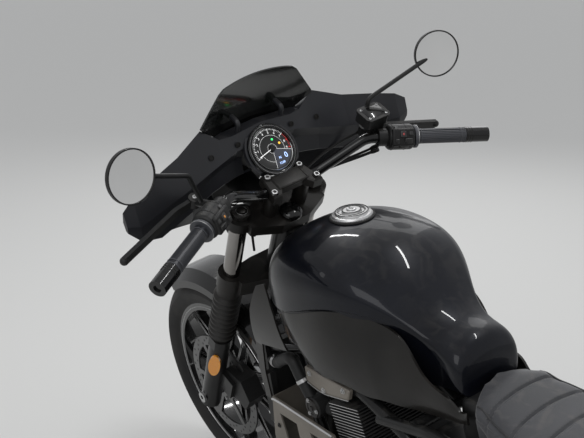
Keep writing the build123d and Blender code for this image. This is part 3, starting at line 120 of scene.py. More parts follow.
class Groups:
    """The shader node groups that several finishes share, each built once."""

    made: dict[str, bpy.types.NodeTree] = {}

    @classmethod
    def start(cls, name: str, inputs: Sequence[tuple[str, str, object]], outputs: Sequence[tuple[str, str]]):
        """Make an empty group with named sockets.

        Args:
            name: the group's name.
            inputs: name, socket type and default of each input.
            outputs: name and socket type of each output.

        Returns:
            The tree, its input node and its output node.
        """
        tree = bpy.data.node_groups.new(name, "ShaderNodeTree")
        for label, kind, default in inputs:
            socket = tree.interface.new_socket(name=label, in_out="INPUT", socket_type=kind)
            if default is not None:
                socket.default_value = default
        for label, kind in outputs:
            tree.interface.new_socket(name=label, in_out="OUTPUT", socket_type=kind)
        cls.made[name] = tree
        return tree, tree.nodes.new("NodeGroupInput"), tree.nodes.new("NodeGroupOutput")

    @classmethod
    def surface(cls) -> bpy.types.NodeTree:
        """Return the group for grain, tone variation, smudges and dust of any surface."""
        if "surface" in cls.made:
            return cls.made["surface"]
        tree, into, out = cls.start(
            "surface",
            [("Vector", "NodeSocketVector", None), ("Base", "NodeSocketColor", (0.5, 0.5, 0.5, 1)),
             ("Variant", "NodeSocketColor", (0.4, 0.4, 0.4, 1)), ("Patch Scale", "NodeSocketFloat", 6.0),
             ("Grain Scale", "NodeSocketFloat", 400.0), ("Roughness", "NodeSocketFloat", 0.4),
             ("Spread", "NodeSocketFloat", 0.1), ("Dust", "NodeSocketFloat", 0.1)],
            [("Color", "NodeSocketColor"), ("Roughness", "NodeSocketFloat"), ("Height", "NodeSocketFloat")])
        nodes, links = tree.nodes, tree.links
        patch = nodes.new("ShaderNodeTexNoise")
        patch.inputs["Detail"].default_value = 4
        grain = nodes.new("ShaderNodeTexNoise")
        grain.inputs["Detail"].default_value = 3
        smudge = nodes.new("ShaderNodeTexNoise")
        smudge.inputs["Scale"].default_value = 24
        smudge.inputs["Detail"].default_value = 6
        smudge.inputs["Distortion"].default_value = 1.2
        for node in (patch, grain, smudge):
            links.new(into.outputs["Vector"], node.inputs["Vector"])
        links.new(into.outputs["Patch Scale"], patch.inputs["Scale"])
        links.new(into.outputs["Grain Scale"], grain.inputs["Scale"])
        tone = cls.ramp(tree, patch.outputs["Fac"], 0.38, 0.62)
        mix = nodes.new("ShaderNodeMix")
        mix.data_type = "RGBA"
        links.new(tone, mix.inputs["Factor"])
        links.new(into.outputs["Base"], mix.inputs["A"])
        links.new(into.outputs["Variant"], mix.inputs["B"])
        normal = nodes.new("ShaderNodeNewGeometry")
        split = nodes.new("ShaderNodeSeparateXYZ")
        links.new(normal.outputs["Normal"], split.inputs["Vector"])
        facing = cls.ramp(tree, split.outputs["Z"], 0.55, 1.0)
        speck = cls.ramp(tree, smudge.outputs["Fac"], 0.5, 0.68)
        dusty = cls.math(tree, "MULTIPLY", cls.math(tree, "MULTIPLY", facing, speck), into.outputs["Dust"])
        dust = nodes.new("ShaderNodeMix")
        dust.data_type = "RGBA"
        dust.inputs["B"].default_value = (0.30, 0.28, 0.25, 1)
        links.new(dusty, dust.inputs["Factor"])
        links.new(mix.outputs["Result"], dust.inputs["A"])
        links.new(dust.outputs["Result"], out.inputs["Color"])
        rough = cls.math(tree, "MULTIPLY_ADD", smudge.outputs["Fac"], into.outputs["Spread"],
                         into.outputs["Roughness"])
        rough = cls.math(tree, "MULTIPLY_ADD", dusty, 0.4, rough)
        links.new(rough, out.inputs["Roughness"])
        links.new(grain.outputs["Fac"], out.inputs["Height"])
        return tree

    @staticmethod
    def math(tree: bpy.types.NodeTree, kind: str, *values) -> bpy.types.NodeSocket:
        """Add a Math node fed by sockets or numbers and return its output."""
        node = tree.nodes.new("ShaderNodeMath")
        node.operation = kind
        for socket, value in zip(node.inputs, values):
            if isinstance(value, bpy.types.NodeSocket):
                tree.links.new(value, socket)
            else:
                socket.default_value = value
        return node.outputs[0]

    @staticmethod
    def ramp(tree: bpy.types.NodeTree, value: bpy.types.NodeSocket, low: float, high: float) -> bpy.types.NodeSocket:
        """Add a clamped Map Range from low..high to 0..1 and return its output."""
        node = tree.nodes.new("ShaderNodeMapRange")
        node.inputs["From Min"].default_value = low
        node.inputs["From Max"].default_value = high
        tree.links.new(value, node.inputs["Value"])
        return node.outputs["Result"]


@dataclass(frozen=True)
class Finish:
    """One finish: colours, gloss, grain and dust, with the shader's fixed values."""

    name: str
    base: tuple[float, float, float]
    variant: tuple[float, float, float]
    roughness: float = 0.4
    spread: float = 0.1
    metallic: float = 0.0
    coat: float = 0.0
    coat_roughness: float = 0.05
    grain: float = 500.0
    bump: float = 0.1
    patch: float = 7.0
    dust: float = 0.15
    alpha: float = 1.0
    transmission: float = 0.0
    ior: float = 1.5
    sheen: float = 0.0
    glow: float = 0.0
    specular: float = 0.5
    record_slot: str = ""

    @property
    def slot(self) -> str:
        """The record's material slot that this finish belongs to."""
        return self.record_slot or self.name

    def material(self) -> bpy.types.Material:
        """Return this finish as a Blender material, built on its first use."""
        title = f"{self.name}_finish"
        found = bpy.data.materials.get(title)
        if found:
            return found
        made = bpy.data.materials.new(title)
        made.use_nodes = True
        tree = made.node_tree
        shader = tree.nodes["Principled BSDF"]
        surface = tree.nodes.new("ShaderNodeGroup")
        surface.node_tree = Groups.surface()
        place = tree.nodes.new("ShaderNodeTexCoord")
        tree.links.new(place.outputs["Object"], surface.inputs["Vector"])
        for label, value in (("Base", (*self.base, 1)), ("Variant", (*self.variant, 1)), ("Patch Scale", self.patch),
                             ("Grain Scale", self.grain), ("Roughness", self.roughness), ("Spread", self.spread),
                             ("Dust", self.dust)):
            surface.inputs[label].default_value = value
        tree.links.new(surface.outputs["Color"], shader.inputs["Base Color"])
        tree.links.new(surface.outputs["Roughness"], shader.inputs["Roughness"])
        bump = tree.nodes.new("ShaderNodeBump")
        bump.inputs["Strength"].default_value = self.bump
        bump.inputs["Distance"].default_value = 0.0006
        tree.links.new(surface.outputs["Height"], bump.inputs["Height"])
        tree.links.new(bump.outputs["Normal"], shader.inputs["Normal"])
        shader.inputs["Metallic"].default_value = self.metallic
        shader.inputs["Coat Weight"].default_value = self.coat
        shader.inputs["Coat Roughness"].default_value = self.coat_roughness
        shader.inputs["Transmission Weight"].default_value = self.transmission
        shader.inputs["IOR"].default_value = self.ior
        shader.inputs["Sheen Weight"].default_value = self.sheen
        shader.inputs["Alpha"].default_value = self.alpha
        shader.inputs["Specular IOR Level"].default_value = self.specular
        if self.glow:
            shader.inputs["Emission Color"].default_value = (*self.base, 1)
            shader.inputs["Emission Strength"].default_value = self.glow
        return made


def grey(value: float, warm: float = 0.0) -> tuple[float, float, float]:
    """Return a near-neutral colour, warmer above zero and cooler below it."""
    return value * (1 + warm), value, value * (1 - warm)


FRAME_BLACK = Finish("frame_black", grey(0.007), grey(0.012), 0.3, 0.12, coat=0.3, dust=0.12, specular=0.12)
CLAMP_BLACK = Finish("clamp_black", grey(0.008, 0.1), grey(0.014, 0.1), 0.34, 0.1, metallic=0.2, dust=0.08,
                     specular=0.3)
SATIN_BLACK = Finish("satin_black", grey(0.008), grey(0.013), 0.4, 0.12, dust=0.1, specular=0.3)
ENGINE_BLACK = Finish("engine_black", grey(0.011), grey(0.018), 0.45, 0.15, metallic=0.2, bump=0.3, dust=0.15,
                      specular=0.3)
TAUPE = Finish("taupe_cover", (0.2, 0.18, 0.155), (0.15, 0.135, 0.115), 0.38, 0.15, metallic=0.4, bump=0.15)
RUBBER = Finish("hose_rubber", grey(0.008), grey(0.012), 0.5, 0.1, bump=0.2, dust=0.1, specular=0.3)
STEEL = Finish("bright_steel", grey(0.5), grey(0.4), 0.25, 0.15, metallic=1.0, dust=0.1)
DISC = Finish("disc_steel", grey(0.17), grey(0.12), 0.34, 0.15, metallic=1.0, dust=0.05)
CHROME = Finish("fork_chrome", grey(0.27, 0.04), grey(0.22, 0.05), 0.06, 0.08, metallic=1.0, bump=0.02, dust=0.05)
EXHAUST = Finish("exhaust_black", grey(0.012), grey(0.02, 0.1), 0.36, 0.15, metallic=0.5, specular=0.3)
TANK = Finish("tank_black", (0.003, 0.0035, 0.006), (0.006, 0.007, 0.011), 0.3, 0.05, metallic=0.3, coat=0.34,
              coat_roughness=0.03, bump=0.0, dust=0.06, specular=0.12)
GLOSS = Finish("gloss_black", grey(0.003), grey(0.005), 0.16, 0.06, coat=0.6, coat_roughness=0.03, bump=0.0,
               dust=0.05, specular=0.12)
SILVER = Finish("cap_silver", grey(0.62), grey(0.5), 0.3, 0.15, metallic=1.0, dust=0.1)
LEATHER = Finish("seat_leather", (0.03, 0.031, 0.036), (0.022, 0.023, 0.027), 0.5, 0.15, bump=0.6, grain=900,
                 sheen=0.2)
RED = Finish("red_lens", (0.35, 0.01, 0.01), (0.25, 0.008, 0.008), 0.15, 0.05, coat=1.0, bump=0.0)
AMBER = Finish("amber_lens", (0.95, 0.42, 0.02), (0.75, 0.28, 0.012), 0.15, 0.05, coat=1.0, bump=0.0)
GAITER = Finish("gaiter_rubber", grey(0.008, 0.1), grey(0.013, 0.1), 0.42, 0.12, bump=0.15, dust=0.15, specular=0.3)
GRIP = Finish("grip_rubber", (0.06, 0.062, 0.07), (0.045, 0.047, 0.054), 0.42, 0.12, bump=0.2)
FAIRING = Finish("fairing_black", (0.014, 0.0145, 0.017), (0.018, 0.0185, 0.022), 0.36, 0.08, bump=0.12, dust=0.06,
                 specular=0.4)
SCREEN = Finish("smoked_screen", (0.004, 0.005, 0.004), (0.006, 0.007, 0.006), 0.1, 0.03, alpha=0.96, coat=0.5,
                bump=0.0, dust=0.03)
LENS = Finish("clear_lens", grey(0.85), grey(0.8), 0.03, 0.02, transmission=0.9, bump=0.0, dust=0.0)
MIRROR = Finish("mirror_glass", grey(0.85), grey(0.82), 0.02, 0.02, metallic=1.0, bump=0.0, dust=0.02)
TYRE = Finish("tyre_rubber", grey(0.010), grey(0.016, 0.06), 0.58, 0.15, bump=0.25, dust=0.2, specular=0.3)
WHEEL = Finish("wheel_black", grey(0.005), grey(0.008), 0.22, 0.04, coat=0.8, bump=0.01, dust=0.02, specular=0.12)

BUTTON = Finish("button_black", grey(0.014), grey(0.022), 0.35, 0.1, dust=0.1, record_slot="satin_black")
TAUPE_DARK = Finish("case_cover", (0.055, 0.05, 0.045), (0.04, 0.037, 0.033), 0.36, 0.15, metallic=0.5, bump=0.15,
                    record_slot="engine_black")
MACHINED = Finish("machined_edge", grey(0.55), grey(0.45), 0.24, 0.12, metallic=1.0, dust=0.0,
                  record_slot="bright_steel")
HOLE = Finish("drilled_hole", grey(0.01), grey(0.016), 0.6, 0.1, record_slot="satin_black")
LEATHER_EDGE = Finish("seat_piping", (0.012, 0.012, 0.014), (0.02, 0.02, 0.022), 0.4, 0.1, bump=0.1,
                      record_slot="seat_leather")
THREAD = Finish("seat_thread", grey(0.09), grey(0.07), 0.6, 0.1, record_slot="seat_leather")
PANEL = Finish("panel_black", (0.008, 0.0076, 0.007), (0.013, 0.012, 0.011), 0.3, 0.08, coat=0.35,
               coat_roughness=0.14,
               bump=0.02, dust=0.1, specular=0.12)
DIAL = Finish("dial_black", grey(0.008), grey(0.012), 0.35, 0.1, record_slot="gauge_black")
DIAL_PANEL = Finish("dial_panel", (0.02, 0.025, 0.04), (0.025, 0.03, 0.05), 0.2, 0.05, coat=1.0, bump=0.0,
                    record_slot="gauge_black")
DIAL_WHITE = Finish("dial_white", grey(0.85), grey(0.75), 0.4, 0.1, glow=0.6, bump=0.0, dust=0.0,
                    record_slot="gauge_black")
DIAL_RED = Finish("dial_red", (0.8, 0.03, 0.02), (0.6, 0.02, 0.02), 0.4, 0.1, glow=0.6, bump=0.0,
                  record_slot="gauge_black")
DIAL_BLUE = Finish("dial_blue", (0.45, 0.62, 1.0), (0.4, 0.55, 0.95), 0.4, 0.1, glow=1.2, bump=0.0,
                   record_slot="gauge_black")
DIAL_GREEN = Finish("dial_green", (0.05, 0.8, 0.2), (0.04, 0.6, 0.15), 0.4, 0.1, glow=1.2, bump=0.0,
                    record_slot="gauge_black")
DIAL_AMBER = Finish("dial_amber", (1.0, 0.55, 0.05), (0.9, 0.5, 0.05), 0.4, 0.1, glow=1.0, bump=0.0,
                    record_slot="gauge_black")
LAMP = Finish("lamp_white", grey(0.9), grey(0.8), 0.2, 0.1, coat=1.0, bump=0.0, dust=0.0, record_slot="clear_lens")

BY_SLOT: dict[str, Finish] = {
    "frame_black": FRAME_BLACK, "clamp_black": CLAMP_BLACK, "satin_black": SATIN_BLACK, "engine_black": ENGINE_BLACK,
    "taupe_cover": TAUPE, "hose_rubber": RUBBER, "bright_steel": STEEL, "disc_steel": DISC, "fork_chrome": CHROME,
    "exhaust_black": EXHAUST, "tank_black": TANK, "gloss_black": GLOSS, "cap_silver": SILVER, "seat_leather": LEATHER,
    "red_lens": RED, "amber_lens": AMBER, "gaiter_rubber": GAITER, "grip_rubber": GRIP, "fairing_black": FAIRING,
    "smoked_screen": SCREEN, "clear_lens": LENS, "mirror_glass": MIRROR, "tyre_rubber": TYRE, "wheel_black": WHEEL,
    "radiator_black": ENGINE_BLACK, "slider_black": FRAME_BLACK, "bar_black": GLOSS, "cap_gloss": GLOSS,
    "lever_black": SATIN_BLACK, "gauge_black": GLOSS, "panel_black": PANEL,
}

BY_NODE: dict[str, Finish] = {"front_fender": GLOSS, "rear_fender": GLOSS, "radiator_shrouds": PANEL}


class NodeDresser:
    """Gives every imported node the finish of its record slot."""

    def dress(self) -> None:
        """Assign the finishes to the nodes' own material slots."""
        slots = {row["node"]: row["material_slot"] for row in frame["record"]["subparts"]}
        for name, node in frame["nodes"].items():
            node.data.materials.clear()
            node.data.materials.append(BY_NODE.get(name, BY_SLOT[slots[name]]).material())


MM = 0.001


class Shop:
    """Modelling steps that several assemblies share; sizes are in millimetres."""

    @staticmethod
    def clear() -> None:
        """Leave edit mode and deselect everything."""
        if bpy.context.object and bpy.context.object.mode != "OBJECT":
            bpy.ops.object.mode_set(mode="OBJECT")
        bpy.ops.object.select_all(action="DESELECT")

    @classmethod
    def active(cls, piece: bpy.types.Object) -> bpy.types.Object:
        """Make the piece the only selected and the active object."""
        cls.clear()
        piece.select_set(True)
        bpy.context.view_layer.objects.active = piece
        return piece

    @classmethod
    def lathe(cls, profile: Sequence[tuple[float, float]], sides: int = 48, hollow: bool = False) -> bpy.types.Object:
        """Turn a profile about z.

        Args:
            profile: radius and height of each ring, from the foot round to the top.
            sides: how many sides the turned piece has.
            hollow: whether the two round ends are left open.

        Returns:
            The piece.
        """
        cls.clear()
        radius, height = profile[0]
        bpy.ops.mesh.primitive_circle_add(vertices=sides, radius=radius * MM, fill_type="NGON",
                                          location=(0, 0, height * MM))
        piece = bpy.context.object
        bpy.ops.object.transform_apply(location=True)
        bpy.ops.object.mode_set(mode="EDIT")
        bpy.ops.mesh.select_all(action="SELECT")
        for wide, high in profile[1:]:
            bpy.ops.mesh.extrude_region_move(TRANSFORM_OT_translate={"value": (0, 0, (high - height) * MM)})
            ratio = wide / radius
            bpy.ops.transform.resize(value=(ratio, ratio, 1), center_override=(0, 0, high * MM))
            radius, height = wide, high
        bpy.ops.mesh.select_all(action="SELECT")
        bpy.ops.mesh.normals_make_consistent(inside=False)
        bpy.ops.object.mode_set(mode="OBJECT")
        if hollow:
            for group in (piece.data.vertices, piece.data.edges):
                for part in group:
                    part.select = False
            for face in piece.data.polygons:
                face.select = len(face.vertices) > 4
            bpy.ops.object.mode_set(mode="EDIT")
            bpy.ops.mesh.select_mode(type="FACE")
            bpy.ops.mesh.delete(type="FACE")
            bpy.ops.object.mode_set(mode="OBJECT")
        return piece

    @classmethod
    def pad(cls, size: Point, edge: float = 1.0, segments: int = 2) -> bpy.types.Object:
        """Make a small block with rounded edges.

        Args:
            size: its length, width and height.
            edge: the radius of its edges.
            segments: how many segments each edge has.

        Returns:
            The block, centred on the origin.
        """
        cls.clear()
        bpy.ops.mesh.primitive_cube_add(size=MM)
        piece = bpy.context.object
        piece.scale = size
        bpy.ops.object.transform_apply(scale=True)
        bpy.ops.object.mode_set(mode="EDIT")
        bpy.ops.mesh.select_all(action="SELECT")
        bpy.ops.mesh.bevel(offset=edge * MM, segments=segments, affect="EDGES")
        bpy.ops.object.mode_set(mode="OBJECT")
        return piece

    @classmethod
    def ring(cls, major: float, minor: float, sides: int = 64, round_sides: int = 10) -> bpy.types.Object:
        """Make a round ring about z."""
        cls.clear()
        bpy.ops.mesh.primitive_torus_add(major_radius=major * MM, minor_radius=minor * MM, major_segments=sides,
                                         minor_segments=round_sides)
        return bpy.context.object

    @classmethod
    def hose(cls, points: Sequence[Point], radius: float, around: int = 4, along: int = 8) -> bpy.types.Object:
        """Make a smooth round tube near the points.

        Args:
            points: control points of its line.
            radius: its outer radius.
            around: bevel resolution.
            along: segments between two points.

        Returns:
            The tube as a mesh.
        """
        data = bpy.data.curves.new("hose", "CURVE")
        data.dimensions = "3D"
        data.bevel_depth = radius * MM
        data.bevel_resolution = around
        data.resolution_u = along
        data.use_fill_caps = True
        spline = data.splines.new("NURBS")
        spline.points.add(len(points) - 1)
        for knot, point in zip(spline.points, points):
            knot.co = (*(Vector(point) * MM), 1)
        spline.use_endpoint_u = True
        spline.order_u = 3
        piece = bpy.data.objects.new("hose", data)
        bpy.context.scene.collection.objects.link(piece)
        cls.active(piece)
        bpy.ops.object.convert(target="MESH")
        return bpy.context.object

    @classmethod
    def word(cls, text: str, size: float, height: float = 0.3) -> bpy.types.Object:
        """Make raised figures, centred on the origin."""
        data = bpy.data.curves.new("figure", "FONT")
        data.body = text
        data.size = size * MM
        data.align_x = "CENTER"
        data.align_y = "CENTER"
        data.extrude = height * MM
        piece = bpy.data.objects.new("figure", data)
        bpy.context.scene.collection.objects.link(piece)
        cls.active(piece)
        bpy.ops.object.convert(target="MESH")
        return bpy.context.object

    @classmethod
    def join(cls, pieces: Sequence[bpy.types.Object]) -> bpy.types.Object:
        """Join the pieces into the first one."""
        cls.active(pieces[0])
        for piece in pieces:
            piece.select_set(True)
        if len(pieces) > 1:
            bpy.ops.object.join()
        return bpy.context.object

    @classmethod
    def repeat(cls, piece: bpy.types.Object, places: Sequence[Matrix]) -> bpy.types.Object:
        """Copy a piece, with its own mesh, to each place and join the copies.

        Args:
            piece: the piece that is modelled once.
            places: the matrix of each copy, in metres.

        Returns:
            The joined copies.
        """
        made = []
        for place in places:
            other = piece.copy()
            other.data = piece.data.copy()
            other.data.transform(place)
            bpy.context.scene.collection.objects.link(other)
            made.append(other)
        bpy.data.objects.remove(piece)
        return cls.join(made)

    @classmethod
    def move(cls, piece: bpy.types.Object, place: Matrix) -> bpy.types.Object:
        """Put a place into the piece's mesh."""
        piece.data.transform(place)
        return piece

    @classmethod
    def settle(cls, piece: bpy.types.Object, name: str, body: Body, finish: Finish, place: Matrix = Matrix(),
               angle: float = 35.0, replaces: Sequence[str] = ()) -> bpy.types.Object:
        """Name, place, finish and ride one finished piece.

        Args:
            piece: the modelled piece.
            name: its name in the scene.
            body: the body that carries it.
            finish: its finish.
            place: matrix from the piece's own frame to the row frame.
            angle: edges sharper than this stay sharp.
            replaces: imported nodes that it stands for.

        Returns:
            The piece.
        """
        piece.name = name
        piece.data.name = name
        piece.data.transform(place)
        piece.matrix_basis = Matrix()
        piece.data.materials.clear()
        piece.data.materials.append(finish.material())
        cls.active(piece)
        bpy.ops.object.shade_smooth_by_angle(angle=radians(angle))
        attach(piece, body.value)
        if replaces:
            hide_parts(*replaces)
        log.info("%s: %d faces on %s", name, len(piece.data.polygons), body.value)
        return piece


def on_fork(piece: bpy.types.Object, name: str, finish: Finish, place: Matrix = Matrix(), angle: float = 35.0,
            replaces: Sequence[str] = ()) -> bpy.types.Object:
    """Settle a piece that is modelled in the steering frame and rides on it."""
    return Shop.settle(piece, name, Body.STEERING, finish, STANCE.fork @ place, angle, replaces)


def on_bike(piece: bpy.types.Object, name: str, finish: Finish, place: Matrix = Matrix(), angle: float = 35.0,
            replaces: Sequence[str] = ()) -> bpy.types.Object:
    """Settle a piece that is modelled in the upright machine's frame and rides on the chassis."""
    return Shop.settle(piece, name, Body.CHASSIS, finish, STANCE.bike @ place, angle, replaces)


def spot(x: float, y: float, z: float) -> Matrix:
    """Return the matrix that moves by this many millimetres."""
    return Matrix.Translation(Vector((x, y, z)) * MM)


def about(axis: str, angle: float) -> Matrix:
    """Return the matrix that turns by this many degrees about an axis."""
    return Matrix.Rotation(radians(angle), 4, axis)


def along(start: Point, end: Point) -> Matrix:
    """Return the matrix that puts z along the line from start to end, in millimetres, with its foot at start."""
    way = Vector(end) - Vector(start)
    return spot(*start) @ way.to_track_quat("Z", "Y").to_matrix().to_4x4()


@dataclass
class Controls:
    """Grips, switches, lever screws, cables, clamp bolts and caps on the steering head."""

    tip: Point = (-135.0, 445.0, 1188.0)
    bend: Point = (0.0, 190.0, 1178.0)
    cap_length: float = 55.0
    grip_length: float = 125.0
    grip_radius: float = 17.0
    grip_ribs: int = 26
    bolt_radius: float = 7.0
    clamp_bolts: tuple[tuple[float, float], ...] = ((47.8, 44.7), (3.6, 58.9))

    def bar(self, side: int) -> Matrix:
        """Return the matrix whose z runs inward along one end of the handlebar, from its tip."""
        x, y, z = self.tip
        bx, by, bz = self.bend
        return STANCE.fork @ along((x, y * side, z), (bx, by * side, bz))

    def grips(self) -> None:
        """Model the ribbed grips with their bright-edged flanges."""
        for side, name in ((1, "left"), (-1, "right")):
            Shop.clear()
            bpy.ops.mesh.primitive_cylinder_add(vertices=self.grip_ribs * 2, radius=self.grip_radius * MM,
                                                depth=(self.grip_length - 8) * MM)
            core = bpy.context.object
            for face in core.data.polygons:
                face.select = len(face.vertices) == 4 and face.index % 2 == 0
            for edge in core.data.edges:
                edge.select = False
            for vertex in core.data.vertices:
                vertex.select = False
            bpy.ops.object.mode_set(mode="EDIT")
            bpy.ops.mesh.select_mode(type="FACE")
            bpy.ops.mesh.inset(thickness=0.0003, use_individual=True)
            bpy.ops.transform.shrink_fatten(value=-0.0014)
            bpy.ops.object.mode_set(mode="OBJECT")
            Shop.move(core, spot(0, 0, self.cap_length + (self.grip_length - 8) / 2 + 1))
            bands = [Shop.move(Shop.ring(self.grip_radius - 0.6, 1.3, 48, 8), spot(0, 0, self.cap_length + z))
                     for z in (2, 12, 108, 118)]
            flange = Shop.lathe([(14, 171), (24.4, 171), (26, 173), (26, 177), (24.4, 179.7), (14, 179.7)])
            grip = Shop.join([core, *bands, flange])
            replaced = ("grips",) if side > 0 else ()
            Shop.settle(grip, f"grip_{name}", Body.STEERING, GRIP, self.bar(side), 30, replaced)
            edge = Shop.move(Shop.ring(25.6, 0.6, 64, 6), spot(0, 0, 172.2))
            Shop.settle(edge, f"grip_edge_{name}", Body.STEERING, STEEL, self.bar(side))
            groove = Shop.repeat(Shop.ring(17.4, 0.6, 48, 6), [spot(0, 0, z) for z in (40, 46, 52)])
            Shop.settle(groove, f"bar_cap_rings_{name}", Body.STEERING, CLAMP_BLACK, self.bar(side))

    def switches(self) -> None:
        """Model the switch faces, the switch buttons, the housing seams and the marks."""
        for side, name in ((1, "left"), (-1, "right")):
            place = self.bar(side)
            inward = self.cap_length + self.grip_length
            up = 69.8 if side > 0 else 120.9
            plate = Shop.move(Shop.pad((12, 40, 52), 5, 4), about("Z", up + side * 82) @ spot(26.5, 0, inward + 31))
            Shop.settle(plate, f"switch_face_{name}", Body.STEERING, SATIN_BLACK, place)
            buttons = []
            for turn, depth, size in ((66, 14, (5, 11, 9)), (70, 32, (6, 15, 14)), (96, 20, (7, 13, 18)),
                                      (40, 46, (5, 10, 9)),
                                      (98, 46, (5, 12, 10)), (126, 28, (6, 9, 22))):
                pad = Shop.move(Shop.pad(size, 1.8, 3), spot(32.5 if 50 < turn < 115 else 29.6, 0, 0))
                buttons.append(Shop.move(pad, spot(0, 0, inward + depth) @ about("Z", up + side * turn)))
            Shop.settle(Shop.join(buttons), f"switch_buttons_{name}", Body.STEERING, BUTTON, place)
            seams = [Shop.move(Shop.ring(29.1, 0.55, 56, 6), spot(0, 0, inward + z)) for z in (22, 52)]
            Shop.settle(Shop.join(seams), f"switch_seams_{name}", Body.STEERING, RUBBER, place)
            marker = Shop.move(Shop.pad((1.2, 5, 4), 0.5), about("Z", up + side * 70) @ spot(35.6, 0, 0))
            Shop.settle(Shop.move(marker, spot(0, 0, inward + 32)), f"switch_mark_{name}", Body.STEERING,
                        RED if side < 0 else AMBER, place)

    def bolt(self, radius: float, height: float) -> bpy.types.Object:
        """Return one socket-head bolt, standing on the origin."""
        r, h = radius, height
        return Shop.lathe([(r, 0), (r, h - 0.8), (r - 0.8, h), (r * 0.58, h), (r * 0.55, h - 0.4),
                           (r * 0.52, h * 0.35),
                           (0.2, h * 0.35)], 24)

    def clamp(self) -> None:
        """Model the clamp bolts, the recessed plate between them, the stem nut and the fork caps."""
        places = [spot(x, side * y, 1121.5) for x, y in self.clamp_bolts for side in (1, -1)]
        on_fork(Shop.repeat(self.bolt(self.bolt_radius, 6), places), "clamp_bolts", STEEL)
        washers = Shop.repeat(Shop.ring(9.0, 1.0, 40, 8),
                              [spot(x, s * y, 1121.9) for x, y in self.clamp_bolts for s in (1, -1)])
        on_fork(washers, "clamp_washers", CLAMP_BLACK)
        plate = Shop.move(Shop.pad((42, 84, 6.0), 2.0, 3), spot(27, 0, 1120.4))
        lip = Shop.repeat(Shop.pad((2.2, 76, 1.6), 0.6, 2), [spot(45.0, 0, 1123.6), spot(9.0, 0, 1123.6)])
        ends = Shop.repeat(Shop.pad((36, 2.2, 1.6), 0.6, 2), [spot(27, side * 38, 1123.6) for side in (1, -1)])
        on_fork(Shop.join([plate, lip, ends]), "clamp_plate", CLAMP_BLACK)
        nut = Shop.lathe([(25, 1036.2), (26.5, 1038), (26.5, 1042), (24, 1046.5), (17, 1050.5), (9, 1052.3),
                          (0.4, 1052.8)], 56)
        on_fork(nut, "stem_nut", GLOSS, angle=50)
        cap = Shop.lathe([(20.2, 1047), (20.2, 1052), (19.2, 1053.4), (13, 1053.8), (12.6, 1051.6), (9, 1051.4),
                          (8.6, 1054.6),
                          (6, 1055.4), (0.3, 1055.4)], 40)
        ribs = [Shop.move(Shop.pad((1.2, 1.3, 4.6), 0.4, 1), about("Z", n * 15) @ spot(20.4, 0, 1049.6))
                for n in range(24)]
        one = Shop.join([cap, *ribs])
        caps = Shop.repeat(one, [spot(47, side * 105, 0) for side in (1, -1)])
        on_fork(caps, "fork_caps", CLAMP_BLACK)
        glint = Shop.repeat(Shop.ring(12.8, 0.5, 40, 6), [spot(47, s * 105, 1053.8) for s in (1, -1)])
        on_fork(glint, "fork_cap_rings", STEEL)
        pinch = Shop.repeat(self.bolt(5.5, 4), [spot(58, s * 78, 846) for s in (1, -1)])
        on_fork(pinch, "lower_clamp_bolts", STEEL)

    def cables(self) -> None:
        """Model the control cables and the brake hose, each from its lever or switch to behind the head."""
        runs = {
            "clutch_cable": [(46, 232, 1140), (66, 214, 1116), (84, 170, 1076), (84, 110, 1042), (74, 62, 1022),
                             (58, 56, 960),
                             (40, 52, 900)],
            "switch_lead_left": [(-14, 214, 1150), (6, 196, 1122), (34, 150, 1092), (58, 96, 1060), (64, 60, 1024),
                                 (50, 50, 940)],
            "brake_hose": [(46, -232, 1150), (70, -218, 1118), (90, -170, 1078), (88, -110, 1046), (76, -66, 1022),
                           (66, -62, 960),
                           (62, -62, 900)],
            "throttle_cable": [(-10, -226, 1148), (16, -206, 1112), (48, -150, 1076), (70, -96, 1050),
                               (66, -56, 1020),
                               (46, -48, 940)],
            "switch_lead_right": [(-22, -216, 1150), (2, -196, 1120), (36, -140, 1084), (58, -84, 1056),
                                  (56, -46, 1022),
                                  (44, -42, 930)],
        }
        for name, points in runs.items():
            radius = 3.6 if "lead" in name else 3.0
            on_fork(Shop.hose(points, radius, 3, 10), name, RUBBER)
            fitting = Shop.lathe([(4.6, 0), (5.2, 2), (5.2, 14), (4.0, 20), (3.2, 22)], 20)
            on_fork(Shop.move(fitting, along(points[0], points[1])), f"{name}_boot", CLAMP_BLACK)

    def levers(self) -> None:
        """Model the lever pivots' screws and the reservoir's lid screws."""
        screws = [along((50, side * 236, 1156), (50, side * 236, 1176)) for side in (1, -1)]
        on_fork(Shop.repeat(self.bolt(5.5, 4), screws), "lever_pivot_screws", STEEL)
        lid = [spot(19 + dx, -214 + dy, 1230.6) for dx, dy in ((-16, -24), (-16, 24), (16, -24), (16, 24))]
        on_fork(Shop.repeat(self.bolt(3.2, 1.6), lid), "reservoir_screws", STEEL)
        panel = Shop.pad((34, 50, 1.4), 0.7, 2)
        on_fork(Shop.move(panel, spot(19, -214, 1230.6)), "reservoir_panel", GLOSS)

    def build(self) -> None:
        """Model everything on the handlebar and the clamps."""
        self.grips()
        self.switches()
        self.clamp()
        self.cables()
        self.levers()


